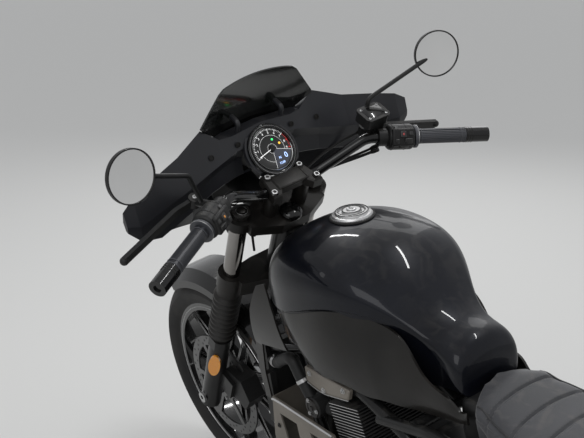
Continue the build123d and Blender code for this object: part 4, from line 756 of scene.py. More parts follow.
@dataclass
class Gauge:
    """The round instrument's face: scale, figures, needle, lamps, panel and rings."""

    centre: Point = (93.0, 0.0, 1153.0)
    radius: float = 48.5
    well: float = 54.0
    depth: float = 6.0
    needle: float = 41.0
    offset: tuple[float, float] = (2.5, 2.0)
    tilt: float = 62.0
    rake: float = 29.5
    first: float = 196.0
    last: float = -14.0
    steps: int = 45
    red_from: int = 35

    def face(self) -> Matrix:
        """Return the dial's matrix: x to the reader's right, y up the dial, z out of it."""
        tilt = radians(90 - self.tilt)
        out = Matrix.Rotation(radians(self.rake), 3, "Y") @ Vector((-cos(tilt), 0, sin(tilt)))
        right = Vector((0, -1, 0))
        up = out.cross(right)
        base = Matrix((right, up, out)).transposed().to_4x4()
        return STANCE.fork @ spot(*self.centre) @ base @ spot(0, 0, -self.depth)

    def angle(self, share: float) -> float:
        """Return the dial angle, in degrees from x, for a share of the scale."""
        return self.first + (self.last - self.first) * share

    def ticks(self, place: Matrix) -> None:
        """Model the scale's ticks, white and then red."""
        white, red = [], []
        for number in range(self.steps + 1):
            main = number % 5 == 0
            length, width = (5.5, 1.3) if main else (3.4, 0.7)
            tick = Shop.pad((length, width, 0.5), 0.15, 1)
            Shop.move(tick,
                      about("Z", self.angle(number / self.steps)) @ spot(self.radius - 2.0 - length / 2, 0, 0.5))
            (red if number > self.red_from else white).append(tick)
        Shop.settle(Shop.join(white), "dial_ticks", Body.STEERING, DIAL_WHITE, place)
        Shop.settle(Shop.join(red), "dial_red_ticks", Body.STEERING, DIAL_RED, place)

    def figures(self, place: Matrix) -> None:
        """Model the scale's figures and the panel's digits."""
        made = []
        for number in range(10):
            turn = radians(self.angle(number * 5 / self.steps))
            reach = self.radius - 11.5
            made.append(Shop.move(Shop.word(str(number), 7.2), spot(reach * cos(turn), reach * sin(turn), 0.5)))
        Shop.settle(Shop.join(made), "dial_figures", Body.STEERING, DIAL_WHITE, place)
        digits = [Shop.move(Shop.word("0", 17), spot(25, -24, 1.4)),
                  Shop.move(Shop.word("12:00", 7), spot(8, -37, 1.4)),
                  Shop.move(Shop.word("N", 8), spot(8, -25, 1.4))]
        Shop.settle(Shop.join(digits), "dial_digits", Body.STEERING, DIAL_BLUE, place)

    def build(self) -> None:
        """Model the dial."""
        well = self.face()
        place = well @ spot(*self.offset, 0)
        collar = Shop.lathe([(self.well + 3.6, -0.3), (self.well + 3.6, 5.4), (self.well, 6.2),
                             (self.well - 2.6, 5.2), (self.radius + 2.2, 1.0),
                             (self.radius + 1.4, 0.6)], 96, True)
        Shop.settle(collar, "dial_collar", Body.STEERING, GLOSS, well)
        dial = Shop.lathe([(self.radius, 0.4), (self.radius, 1.2), (self.radius - 1, 1.3), (31, 1.3), (30.5, 1.0),
                           (0.4, 1.0)], 72)
        Shop.settle(dial, "dial_face", Body.STEERING, DIAL, place)
        reflector = Shop.lathe([(self.radius - 1.4, 1.0), (self.radius + 1.6, 1.0), (self.radius + 1.6, 3.6),
                                (self.radius - 0.2, 2.0)], 96, True)
        Shop.settle(reflector, "dial_reflector", Body.STEERING, MACHINED, place)
        place = place @ spot(0, 0, 1.0)
        self.ticks(place)
        self.figures(place)
        Shop.settle(self.wedge(), "dial_panel", Body.STEERING, DIAL_PANEL, place)
        lines = [Shop.move(Shop.pad((self.radius - 12, 0.6, 0.5), 0.1, 1),
                           about("Z", turn) @ spot((self.radius + 8) / 2, 0, 1.1))
                 for turn in (-20, -102)]
        lines.append(Shop.move(Shop.ring(31, 0.28, 96, 4), spot(0, 0, 0.5)))
        lines.append(Shop.move(Shop.ring(11, 0.28, 48, 4), spot(0, 0, 0.5)))
        Shop.settle(Shop.join(lines), "dial_lines", Body.STEERING, DIAL_WHITE, place)
        needle = Shop.pad((self.needle, 1.8, 0.9), 0.4, 2)
        Shop.move(needle, about("Z", self.angle(0.01)) @ spot(self.needle / 2, 0, 2.4))
        Shop.settle(needle, "dial_needle", Body.STEERING, DIAL_WHITE, place)
        hub = Shop.lathe([(7, 0.2), (7, 3), (6, 4), (0.4, 4.2)], 32)
        Shop.settle(hub, "dial_hub", Body.STEERING, GLOSS, place)
        lamp = [(9.3, 19.2, DIAL_GREEN, "green"), (22.7, 6.3, DIAL_AMBER, "amber")]
        for x, y, finish, name in lamp:
            Shop.settle(Shop.lathe([(2.6, 0.2), (2.6, 0.8), (2, 1.2), (0.2, 1.3)], 20), f"dial_lamp_{name}",
                        Body.STEERING, finish,
                        place @ spot(x, y, 0))
        bezel = Shop.ring(self.well + 3.6, 2.4, 96, 12)
        Shop.settle(bezel, "dial_bezel", Body.STEERING, GLOSS, well @ spot(0, 0, 5.6))
        glint = Shop.ring(self.well + 1.2, 0.35, 96, 6)
        Shop.settle(glint, "dial_glint", Body.STEERING, STEEL, well @ spot(0, 0, 6.3))

    def wedge(self) -> bpy.types.Object:
        """Return the panel's segment, cut from a thin disc."""
        piece = Shop.lathe([(self.radius - 3, 0.3), (self.radius - 3, 0.9)], 72)
        bpy.ops.object.mode_set(mode="EDIT")
        for turn, side in ((-20, 1), (-102, -1)):
            bpy.ops.mesh.select_all(action="SELECT")
            out = (-sin(radians(turn)) * side, cos(radians(turn)) * side, 0)
            bpy.ops.mesh.bisect(plane_co=(0, 0, 0), plane_no=out, use_fill=True, clear_outer=True)
        bpy.ops.object.mode_set(mode="OBJECT")
        return piece


@dataclass
class Cushion:
    """One padded seat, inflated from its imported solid, with sewn channels and stitches."""

    node: str
    seams: tuple[float, ...]
    band: float
    half: float
    voxel: float = 5.0
    shrink: float = 2.5
    cap: float = 7.0
    channel: float = 3.8
    channel_half: float = 2.8
    channel_bow: float = 6.0
    fall_off: float = 2.718
    band_press: float = 0.4
    stitch_pitch: float = 7.0
    stitch_gap: float = 4.5
    stitch_reach: float = 0.8
    frames: int = 20
    smooth_rounds: int = 6
    ease_rounds: int = 8
    piping_radius: float = 1.8
    piping_stations: int = 24
    piping_rounds: int = 6

    def puff(self, piece: bpy.types.Object) -> None:
        """Inflate the pad with cloth pressure, no point moving further than the cap."""
        rest = [vertex.co.copy() for vertex in piece.data.vertices]
        cloth = piece.modifiers.new("Cloth", "CLOTH")
        cloth.settings.use_pressure = True
        cloth.settings.uniform_pressure_force = 4
        cloth.settings.effector_weights.gravity = 0
        cloth.settings.quality = 4
        scene = bpy.context.scene
        for number in range(1, self.frames + 1):
            scene.frame_set(number)
        Shop.active(piece)
        bpy.ops.object.modifier_apply(modifier="Cloth")
        scene.frame_set(1)
        limit = self.cap * MM
        for vertex, start in zip(piece.data.vertices, rest):
            step = vertex.co - start
            if step.length > limit:
                vertex.co = start + step.normalized() * limit

    def bow(self, seam: float, y: float) -> float:
        """Return where a bowed seam lies at this distance to the side, in mm."""
        return seam - self.channel_bow * (y / self.half) ** 2

    def dip(self, gap: float) -> float:
        """Return how deep a channel is at this distance from its middle, from 0 to 1."""
        return pow(self.fall_off, -(gap / self.channel_half) ** 2)

    def sew(self, piece: bpy.types.Object) -> None:
        """Press the sewn channels into the pad's top and sides."""
        back = STANCE.bike.inverted()
        up = (STANCE.bike.to_3x3() @ Vector((0, 0, 1))).normalized()
        normals = [vertex.normal.copy() for vertex in piece.data.vertices]
        for vertex, normal in zip(piece.data.vertices, normals):
            point = back @ vertex.co / MM
            top = max(0.0, min(1.0, (normal.dot(up) + 0.15) * 1.6))
            press = 0.0
            for seam in self.seams:
                press = max(press, top * self.dip(point.x - self.bow(seam, point.y)))
            side = 1.0 - abs(normal.dot(up))
            press = max(press, self.band_press * side * self.dip(point.z - self.band))
            vertex.co -= normal * press * self.channel * MM

    def stitches(self, piece: bpy.types.Object) -> bpy.types.Object:
        """Return two rows of stitches beside each channel, laid on the pad's top."""
        down = -(STANCE.bike.to_3x3() @ Vector((0, 0, 1))).normalized()
        places = []
        for seam in self.seams:
            for offset in (-self.stitch_gap, self.stitch_gap):
                y = -self.half * self.stitch_reach
                while y < self.half * self.stitch_reach:
                    x = self.bow(seam, y) + offset
                    start = STANCE.bike @ (Vector((x, y, 900)) * MM)
                    hit, point, normal, _ = piece.ray_cast(start, down)
                    if hit and normal.dot(-down) > 0.35:
                        turn = normal.to_track_quat("Z", "Y").to_matrix().to_4x4()
                        turn = Matrix.Translation(point + normal * 0.0002) @ turn
                        across = (STANCE.bike.to_3x3() @ Vector((0, 1, 0))).normalized()
                        local = turn.to_3x3().inverted() @ across
                        places.append(turn @ about("Z", degrees(atan2(local.y, local.x))))
                    y += self.stitch_pitch
        return Shop.repeat(Shop.pad((4.2, 0.9, 0.8), 0.35, 1), places)

    def build(self) -> None:
        """Make the pad, its stitches and its piping."""
        source = frame["nodes"][self.node]
        piece = bpy.data.objects.new(f"{self.node}_pad", source.data.copy())
        bpy.context.scene.collection.objects.link(piece)
        Shop.active(piece)
        remesh = piece.modifiers.new("Remesh", "REMESH")
        remesh.mode = "VOXEL"
        remesh.voxel_size = self.voxel * MM
        bpy.ops.object.modifier_apply(modifier="Remesh")
        smooth = piece.modifiers.new("Smooth", "SMOOTH")
        smooth.iterations = self.smooth_rounds
        bpy.ops.object.modifier_apply(modifier="Smooth")
        for vertex, normal in [(v, v.normal.copy()) for v in piece.data.vertices]:
            vertex.co -= normal * self.shrink * MM
        self.puff(piece)
        ease = piece.modifiers.new("Ease", "SMOOTH")
        ease.iterations = self.ease_rounds
        Shop.active(piece)
        bpy.ops.object.modifier_apply(modifier="Ease")
        divide = piece.modifiers.new("Subdivision", "SUBSURF")
        divide.levels = 1
        Shop.active(piece)
        bpy.ops.object.modifier_apply(modifier="Subdivision")
        self.sew(piece)
        Shop.settle(piece, f"{self.node}_pad", Body.CHASSIS, LEATHER, Matrix(), 60, (self.node,))
        Shop.settle(self.stitches(piece), f"{self.node}_stitches", Body.CHASSIS, THREAD)
        on_bike(self.piping(piece), f"{self.node}_piping", LEATHER_EDGE)

    @staticmethod
    def drop(piece: bpy.types.Object, x: float, y: float, least: float) -> Optional[Point]:
        """Return the point on the pad above (x, y) in the machine's frame.

        Args:
            piece: the pad.
            x: distance ahead of the rear axle, mm.
            y: distance to the side, mm.
            least: smallest upward part that the pad's normal may have there.

        Returns:
            The point in mm, just clear of the pad, or None where the pad is absent or too steep.
        """
        up = (STANCE.bike.to_3x3() @ Vector((0, 0, 1))).normalized()
        hit, point, normal, _ = piece.ray_cast(STANCE.bike @ (Vector((x, y, 950)) * MM), -up)
        if not hit or normal.dot(up) < least:
            return None
        return tuple(STANCE.bike.inverted() @ point / MM + Vector((0, 0, 0.8)))

    def piping(self, piece: bpy.types.Object) -> bpy.types.Object:
        """Return the piping along both edges of the pad's top."""
        back = STANCE.bike.inverted()
        reach = [(back @ vertex.co / MM).x for vertex in piece.data.vertices]
        low, high = min(reach) + 26, max(reach) - 30
        count = self.piping_stations
        stations = [low + (high - low) * number / count for number in range(count + 1)]
        made = []
        for side in (1, -1):
            edge: list[float] = []
            for x in stations:
                flat = [step for step in range(20, 150, 2) if self.drop(piece, x, side * step, 0.8)]
                edge.append(max(flat, default=edge[-1] if edge else 20))
            for _ in range(self.piping_rounds):
                edge = [(edge[max(0, n - 1)] + edge[n] + edge[min(count, n + 1)]) / 3 for n in range(count + 1)]
            line = [self.drop(piece, x, side * y, 0.1) for x, y in zip(stations, edge)]
            made.append(Shop.hose([point for point in line if point], self.piping_radius, 2, 4))
        return Shop.join(made)


@dataclass
class Wheel:
    """Machined edges, disc holes, disc bolts and valve of one wheel."""

    joint: str
    body: Body
    inner: float
    disc: Optional[tuple[float, float, float]] = None
    pairs: int = 9
    gap: float = 26.0
    hub: float = 40.0
    depth: float = 26.0

    def spokes(self, place: Matrix, name: str) -> None:
        """Lay thin bright strips on the faces of the spokes."""
        length = self.inner - self.hub - 4
        places = []
        for number in range(self.pairs):
            for side in (-1, 1):
                for face in (-1, 1):
                    for edge in (-1, 1):
                        turn = about("Y", number * 360 / self.pairs) @ spot(side * self.gap / 2, 0, self.hub * 0.7)
                        lean = about("Y", -side * 3.0)
                        rise = (self.inner + 3 - self.hub * 0.7) / 2
                        middle = spot(0, 0, rise) @ lean @ spot(edge * 2.9, face * (self.depth / 2 + 0.15), 6)
                        places.append(turn @ middle)
        strip = Shop.pad((1.1, 0.7, length), 0.25, 1)
        Shop.settle(Shop.repeat(strip, places), f"{name}_spoke_edges", self.body, MACHINED, place)

    def holes(self, place: Matrix, name: str) -> None:
        """Lay the drilled holes' dark rims on both faces of the disc."""
        radius, low, high = self.disc
        hole = Shop.lathe([(3.4, -0.05), (3.4, 0.12), (2.6, 0.16), (2.5, 0.02), (0.2, 0.02)], 16)
        places = []
        for number in range(48):
            reach = radius - (7, 14, 21)[number % 3]
            turn = about("Y", number * 7.5)
            places.append(turn @ spot(0, high, reach) @ about("X", -90))
            places.append(turn @ spot(0, low, reach) @ about("X", 90))
        Shop.settle(Shop.repeat(hole, places), f"{name}_disc_holes", self.body, HOLE, place)
        outer, turned = (high, -90) if high > 0 else (low, 90)
        bolts = [about("Y", n * 60 + 30) @ spot(0, outer, self.hub + 2) @ about("X", turned) for n in range(6)]
        head = Shop.lathe([(5, -0.5), (5, 3), (4, 4), (2.4, 4), (2.2, 1.5), (0.2, 1.5)], 18)
        Shop.settle(Shop.repeat(head, bolts), f"{name}_disc_bolts", self.body, STEEL, place)

    def rim_edges(self, place: Matrix, name: str, half: float) -> None:
        """Lay a thin machined line round both rim flanges and fit the valve."""
        rings = [Shop.move(Shop.ring(self.inner + 10.5, 0.9, 120, 6), spot(0, side * half, 0) @ about("X", 90))
                 for side in (1, -1)]
        Shop.settle(Shop.join(rings), f"{name}_rim_lines", self.body, MACHINED, place)
        valve = Shop.lathe([(4.5, 0), (4, 6), (3, 10), (3, 26), (2.4, 28), (0.3, 28.5)], 18)
        Shop.settle(Shop.move(valve, about("Y", 20) @ spot(0, 0, self.inner + 1) @ about("X", 180)),
                    f"{name}_valve", self.body,
                    RUBBER, place)

    def build(self, half: float) -> None:
        """Model the wheel's details."""
        name = self.body.value
        place = STANCE.hub(self.joint)
        self.spokes(place, name)
        self.rim_edges(place, name, half)
        if self.disc:
            self.holes(place, name)


@dataclass
class Tyre:
    """One tyre with its tread, in place of the plain one."""

    node: str
    body: Body
    joint: str
    half: float
    crown: float
    rim: float
    rim_half: float
    radius: float = 320.0
    sides: int = 264
    rows: int = 20
    depth: float = 3.0
    pitch: int = 22

    def profile(self) -> list[tuple[float, float]]:
        """Return the section from one bead to the other, as radius and width."""
        turn = asin(min(1.0, self.half / self.crown))
        low = self.radius - self.crown + self.crown * cos(turn)
        wall = [(self.rim, self.rim_half), (self.rim + 9, self.rim_half + 3)]
        for share in (0.3, 0.34, 0.6, 0.85):
            bulge = 4.5 * sin(pi * share)
            wall.append((self.rim + 9 + (low - self.rim - 9) * share,
                         min(self.half, self.rim_half + 3 + (self.half - self.rim_half - 3) * share + bulge)))
        crown = []
        for number in range(self.rows + 1):
            angle = -turn + 2 * turn * number / self.rows
            crown.append((self.radius - self.crown + self.crown * cos(angle), self.crown * sin(angle)))
        return [(r, -w) for r, w in wall] + crown + list(reversed(wall))

    def build(self) -> None:
        """Model the tyre and press its tread grooves in."""
        piece = Shop.lathe(self.profile(), self.sides, True)
        row = 2 * self.half / self.rows
        for vertex in piece.data.vertices:
            vertex.select = False
        for edge in piece.data.edges:
            edge.select = False
        for face in piece.data.polygons:
            centre = face.center / MM
            column = int(atan2(centre.y, centre.x) / (2 * pi) * self.sides + self.sides)
            across = int(abs(centre.z) / row)
            reach = Vector((centre.x, centre.y)).length
            shift = 0 if centre.z > 0 else self.pitch // 2
            pressed = 1 <= across <= self.rows // 2 - 2 and (column + 2 * across + shift) % self.pitch == 0
            face.select = pressed and reach > self.radius - self.crown
        bpy.ops.object.mode_set(mode="EDIT")
        bpy.ops.mesh.select_mode(type="FACE")
        bpy.ops.mesh.extrude_region_shrink_fatten(TRANSFORM_OT_shrink_fatten={"value": -self.depth * MM})
        bpy.ops.object.mode_set(mode="OBJECT")
        Shop.settle(piece, f"{self.node}_tread", self.body, TYRE, STANCE.hub(self.joint) @ about("X", 90), 30,
                    (self.node,))


@dataclass
class Engine:
    """Bright fin edges, covers, bolts, hose clamps, the belly pan's trim and the radiator's slats."""

    lean: float = 15.0
    foot: Point = (778.0, 0.0, 484.0)
    fin_half: float = 134.0
    fin_front: float = 48.0
    fin_back: float = 60.0
    fins: int = 15
    pitch: float = 6.9
    first: float = 14.0
    wall: float = 3.0

    def bolts(self, places: Sequence[Matrix], name: str, radius: float = 5.0, height: float = 4.0,
              finish: Optional[Finish] = None) -> None:
        """Set flanged bolts at the places, each with z along its axis."""
        r, h = radius, height
        bolt = Shop.lathe([(r + 1.6, 0), (r + 1.6, 1), (r, 1.4), (r, h), (r - 0.8, h + 0.7), (r * 0.5, h + 0.7),
                           (r * 0.45, h * 0.5),
                           (0.2, h * 0.5)], 20)
        Shop.settle(Shop.repeat(bolt, places), name, Body.CHASSIS, finish or STEEL, STANCE.bike)

    def fin_edges(self) -> None:
        """Lay a bright edge on every fin, left and right."""
        base = spot(*self.foot) @ about("Y", self.lean)
        length = self.fin_front + self.fin_back
        middle = (self.fin_front - self.fin_back) / 2
        places = []
        for number in range(self.fins):
            z = self.first + number * self.pitch + self.wall / 2
            for side in (1, -1):
                places.append(base @ spot(middle, side * (self.fin_half + 0.1), z))
        strip = Shop.pad((length - 4, 0.9, 1.5), 0.35, 1)
        on_bike(Shop.repeat(strip, places), "fin_edges", MACHINED)

    def covers(self) -> None:
        """Model the ringed outer faces of the crankcase covers, with their bolts."""
        for side, x, reach, radius, name in ((1, 720, 144, 74, "left"), (-1, 650, 146, 84, "right")):
            plate = Shop.lathe([(radius - 2, 0), (radius - 4, 5), (radius - 16, 8), (radius - 20, 6.5),
                                (radius * 0.45, 6.5),
                                (radius * 0.42, 9), (radius * 0.3, 10.5), (0.5, 11)], 72)
            turn = about("X", -90 * side)
            on_bike(plate, f"case_cover_{name}", TAUPE_DARK, spot(x, side * reach, 345) @ turn, 50)
            places = [spot(x, side * reach, 345) @ turn @ about("Z", n * 45) @ spot(radius - 8, 0, 4.5)
                      for n in range(8)]
            self.bolts(places, f"case_cover_bolts_{name}", 4.2, 3.4)
        cap = Shop.lathe([(15, 0), (15, 5), (13, 8), (5, 8.5), (4.6, 11), (0.3, 11.4)], 40)
        on_bike(cap, "oil_filler", GLOSS, spot(815, -111, 400) @ about("X", 90))

    def head(self) -> None:
        """Model the head covers' bolts and bright lines, and the thermostat cap."""
        places = []
        for side in (1, -1):
            for x, z in ((786, 640), (903, 632), (858, 610)):
                places.append(spot(x, side * 138, z) @ about("X", -90 * side))
        self.bolts(places, "head_cover_bolts", 4.6, 3.4)
        line = [Shop.hose([(770, side * 139.2, 624), (820, side * 139.2, 611), (872, side * 139.2, 599),
                           (915, side * 139.2, 607)], 1.1, 2)
                for side in (1, -1)]
        on_bike(Shop.join(line), "head_cover_lines", MACHINED)
        housing = Shop.lathe([(22, 0), (21, 3), (15, 4), (14, 2.6), (6, 2.6), (5, 5), (0.3, 5.2)], 48)
        on_bike(housing, "thermostat_cap", CLAMP_BLACK, spot(900, 146, 552) @ about("X", -90))
        ring = [spot(900, 146, 552) @ about("X", -90) @ about("Z", 60 + n * 120) @ spot(18, 0, 2.4) for n in range(3)]
        self.bolts(ring, "thermostat_bolts", 3.6, 3)

    def clamps(self) -> None:
        """Model the hose clamps on the coolant hose."""
        places = [along((1066, 124.5, 591), (1056, 126, 592)), along((936, 140, 606), (928, 139, 594))]
        rings = [Shop.move(Shop.lathe([(13.4, 0), (14.1, 0.4), (14.1, 8), (13.4, 8.4)], 40), place)
                 for place in places]
        screws = [Shop.move(Shop.pad((7, 5, 8), 1, 2), place @ spot(0, 15.5, 4)) for place in places]
        on_bike(Shop.join(rings + screws), "hose_clamps", STEEL)

    def slats(self) -> None:
        """Lay the radiator's slats and its guard over the core."""
        slat = Shop.pad((3.2, 232, 1.1), 0.3, 1)
        places = [spot(1113, 0, 430 + n * 5.6) for n in range(33)]
        on_bike(Shop.repeat(slat, places), "radiator_slats", ENGINE_BLACK)
        guard = Shop.repeat(Shop.pad((2.4, 3.0, 196), 0.6, 1), [spot(1115.6, y, 520) for y in range(-112, 113, 28)])
        on_bike(guard, "radiator_guard", SATIN_BLACK)

    def build(self) -> None:
        """Model the engine's details."""
        self.fin_edges()
        self.covers()
        self.head()
        self.clamps()
        self.slats()
        self.pan()

    def pan(self) -> None:
        """Lay the belly pan's bright upper strip and set its screws."""
        strip = [Shop.hose([(1059, s * 152.6, 506), (1052, s * 152.8, 511), (940, s * 152.8, 514),
                            (828, s * 152.8, 518)], 3.2, 3)
                 for s in (1, -1)]
        on_bike(Shop.join(strip), "pan_strips", MACHINED)
        places = [spot(x, s * 152, z) @ about("X", -90 * s) for s in (1, -1) for x,
                  z in ((1048, 440), (1046, 250), (830, 440), (840, 180))]
        self.bolts(places, "pan_screws", 4.6, 2.4, CLAMP_BLACK)


@dataclass
class Trim:
    """Cap, lamps, screws, footpegs and other fittings."""

    cap: Point = (872.0, 0.0, 940.0)

    def fuel_cap(self) -> None:
        """Model the cap's knurled side, its gasket and the lock."""
        base = STANCE.bike @ spot(*self.cap)
        ribs = Shop.repeat(Shop.pad((1.6, 2.6, 11), 0.5, 1),
                           [about("Z", n * 7.5) @ spot(42.1, 0, 8) for n in range(48)])
        Shop.settle(ribs, "fuel_cap_knurl", Body.CHASSIS, SILVER, base)
        gasket = Shop.move(Shop.ring(44.6, 2.6, 72, 10), spot(0, 0, 10.0))
        Shop.settle(gasket, "fuel_cap_gasket", Body.CHASSIS, RUBBER, base)
        lines = [Shop.move(Shop.ring(r, 0.7, 64, 6), spot(0, 0, z)) for r, z in ((33.5, 21.8), (28, 22), (19, 24))]
        Shop.settle(Shop.join(lines), "fuel_cap_lines", Body.CHASSIS, HOLE, base)
        lock = Shop.lathe([(10, 23.8), (10, 26), (9, 26.8), (5, 26.9), (4.6, 25.2), (0.3, 25.2)], 36)
        flap = Shop.move(Shop.pad((16, 3, 1.4), 0.6), spot(0, 0, 27.2))
        Shop.settle(Shop.join([lock, flap]), "fuel_cap_lock", Body.CHASSIS, SILVER, base)

    def fairing(self) -> None:
        """Model the fairing's dash screws, the screen's screws and the skirt under the screen."""
        screw = Shop.lathe([(6.2, -0.5), (6.2, 0.6), (5.2, 0.8), (4.6, -1.6), (3.4, -1.6), (3.2, -0.4), (2, -0.2),
                            (0.2, -0.4)], 24)
        places = [spot(124.5, s * 74, 1172) @ about("Y", -62) for s in (1, -1)]
        places += [spot(121, s * 146, 1168) @ about("Y", -50) for s in (1, -1)]
        on_fork(Shop.repeat(screw, places), "fairing_screws", CLAMP_BLACK)
        heads = Shop.repeat(Shop.lathe([(4.6, 0), (4.4, 1.6), (2.2, 2.2), (2, 0.8), (0.2, 0.8)], 20),
                            [spot(x, s * y, z) @ about("Y", 80) for s in (1, -1) for x, y,
                             z in ((179, 60, 1208), (170, 120, 1216))])
        on_fork(heads, "screen_screws", STEEL)
        Shop.clear()
        bpy.ops.mesh.primitive_grid_add(x_subdivisions=24, y_subdivisions=4, size=2)
        skirt = bpy.context.object
        for vertex in skirt.data.vertices:
            y = vertex.co.x * 150.0
            top = 1218 if abs(y) > 146 else 1216 - 18 * min(1.0, (146 - abs(y)) / 50)
            low = top - 6 - 30 * min(1.0, (150 - abs(y)) / 60)
            share = (vertex.co.y + 1) / 2
            x = 162.5 + 20.0 * (1 - (y / 152) ** 2) - 6 * (1 - share)
            vertex.co = Vector((x, y, low + (top - low) * share)) * MM
        solid = skirt.modifiers.new("Solidify", "SOLIDIFY")
        solid.thickness = 0.002
        Shop.active(skirt)
        bpy.ops.object.modifier_apply(modifier="Solidify")
        on_fork(skirt, "screen_skirt", GLOSS)

    def headlamp(self) -> None:
        """Model the headlamp's reflector, inner ring and rim."""
        base = STANCE.fork @ spot(280, 0, 985) @ about("Y", 90)
        bowl = Shop.lathe([(20, -8), (24, -5), (40, -1), (70, 0.6), (72, 1.2)], 72)
        Shop.settle(bowl, "lamp_reflector", Body.STEERING, CHROME, base, 60)
        rings = [Shop.move(Shop.ring(r, 2.2, 72, 8), spot(0, 0, 2.2)) for r in (62, 30)]
        Shop.settle(Shop.join(rings), "lamp_rings", Body.STEERING, LAMP, base)
        rim = Shop.move(Shop.ring(76, 3.0, 96, 10), spot(0, 0, 10.5))
        Shop.settle(rim, "lamp_rim", Body.STEERING, GLOSS, base)

    def mirrors(self) -> None:
        """Model the mirrors' thin rims."""
        rows = {1: ((34, 397, 1302), 8.0), -1: ((34, -400, 1317), 25.0)}
        for side, (centre, inward) in rows.items():
            back = Matrix.Rotation(radians(29.5), 3, "Y") @ Vector((-1, -side * tan(radians(inward)), 0))
            turn = spot(*centre) @ back.normalized().to_track_quat("Z", "Y").to_matrix().to_4x4()
            rim = Shop.move(Shop.ring(51.5, 1.4, 96, 10), spot(0, 0, -0.4))
            on_fork(rim, f"mirror_rim_{'left' if side > 0 else 'right'}", GLOSS, turn)

    def pegs(self) -> None:
        """Model the ribbed rubbers of the footpegs and pedals."""
        for side, name in ((1, "left"), (-1, "right")):
            profile = [(13.6, 0)]
            for number in range(9):
                z = 4 + number * 11
                profile += [(17, z), (17, z + 6), (14.6, z + 8), (14.6, z + 9)]
            profile += [(16, 104), (12, 106), (0.5, 106)]
            rubber = Shop.lathe(profile, 28)
            place = STANCE.bike @ spot(640, side * 164, 300) @ about("X", -90 * side)
            Shop.settle(rubber, f"footpeg_rubber_{name}", Body.CHASSIS, RUBBER, place)
            toe = Shop.lathe([(11, 0), (12.4, 2), (12.4, 30), (11, 32), (0.4, 32)], 24)
            place = STANCE.bike @ spot(766, side * 166, 280) @ about("X", -90 * side)
            Shop.settle(toe, f"toe_rubber_{name}", Body.CHASSIS, RUBBER, place)

    def rear(self) -> None:
        """Model the tail lamp's bars, the plate's screws and edges, the indicators' lenses and the muffler's tip and
        bands.
        """
        bars = Shop.repeat(Shop.pad((2, 84, 3), 0.8, 2), [spot(-360.6, 0, 500 + dz) for dz in (-9, 0, 9)])
        on_bike(bars, "tail_lamp_bars", RED)
        screws = Shop.repeat(Shop.lathe([(4, 0), (4, 1.4), (3, 2), (0.2, 2)], 18),
                             [spot(-356, s * 60, z) @ about("Y", -90) for s in (1, -1) for z in (345, 435)])
        on_bike(screws, "plate_screws", STEEL)
        edge = Shop.repeat(Shop.pad((1.4, 1.4, 116), 0.4, 1), [spot(-356.4, s * 88.6, 390) for s in (1, -1)])
        on_bike(edge, "plate_edges", SATIN_BLACK)
        tip = Shop.move(Shop.ring(36.5, 2.2, 72, 10), about("Y", 90))
        on_bike(tip, "muffler_tip", STEEL, spot(-52, -202, 252))
        bands = Shop.repeat(Shop.move(Shop.ring(47.6, 1.6, 80, 8), about("Y", 90)),
                            [spot(x, -202, 252) for x in (424, 40)])
        on_bike(bands, "muffler_bands", STEEL)
        lens = Shop.repeat(Shop.lathe([(17.4, 0), (17.8, 3), (15, 7), (9, 9.4), (0.4, 10)], 36),
                           [spot(-346, s * 122, 500) @ about("X", -90 * s) for s in (1, -1)])
        on_bike(lens, "indicator_lenses", AMBER)

    def pulley(self) -> None:
        """Model the rear pulley's bolts."""
        bolts = Shop.repeat(Shop.lathe([(6, -1), (6, 1), (5, 1.6), (0.2, 1.6)], 16),
                            [about("Y", n * 60 + 30) @ spot(0, 122.2, 52) @ about("X", -90) for n in range(6)])
        Shop.settle(bolts, "pulley_bolts", Body.REAR_WHEEL, STEEL, STANCE.hub("rear_wheel_spin"))

    def seat_front(self) -> None:
        """Model the rounded cover that closes the space between the tank's tail and the seat."""
        cover = Shop.pad((80, 150, 88), 16, 4)
        on_bike(Shop.move(cover, spot(482, 0, 668)), "seat_front_cover", SATIN_BLACK)

    def build(self) -> None:
        """Model all fittings."""
        self.seat_front()
        self.fuel_cap()
        self.fairing()
        self.headlamp()
        self.mirrors()
        self.pegs()
        self.rear()
        self.pulley()


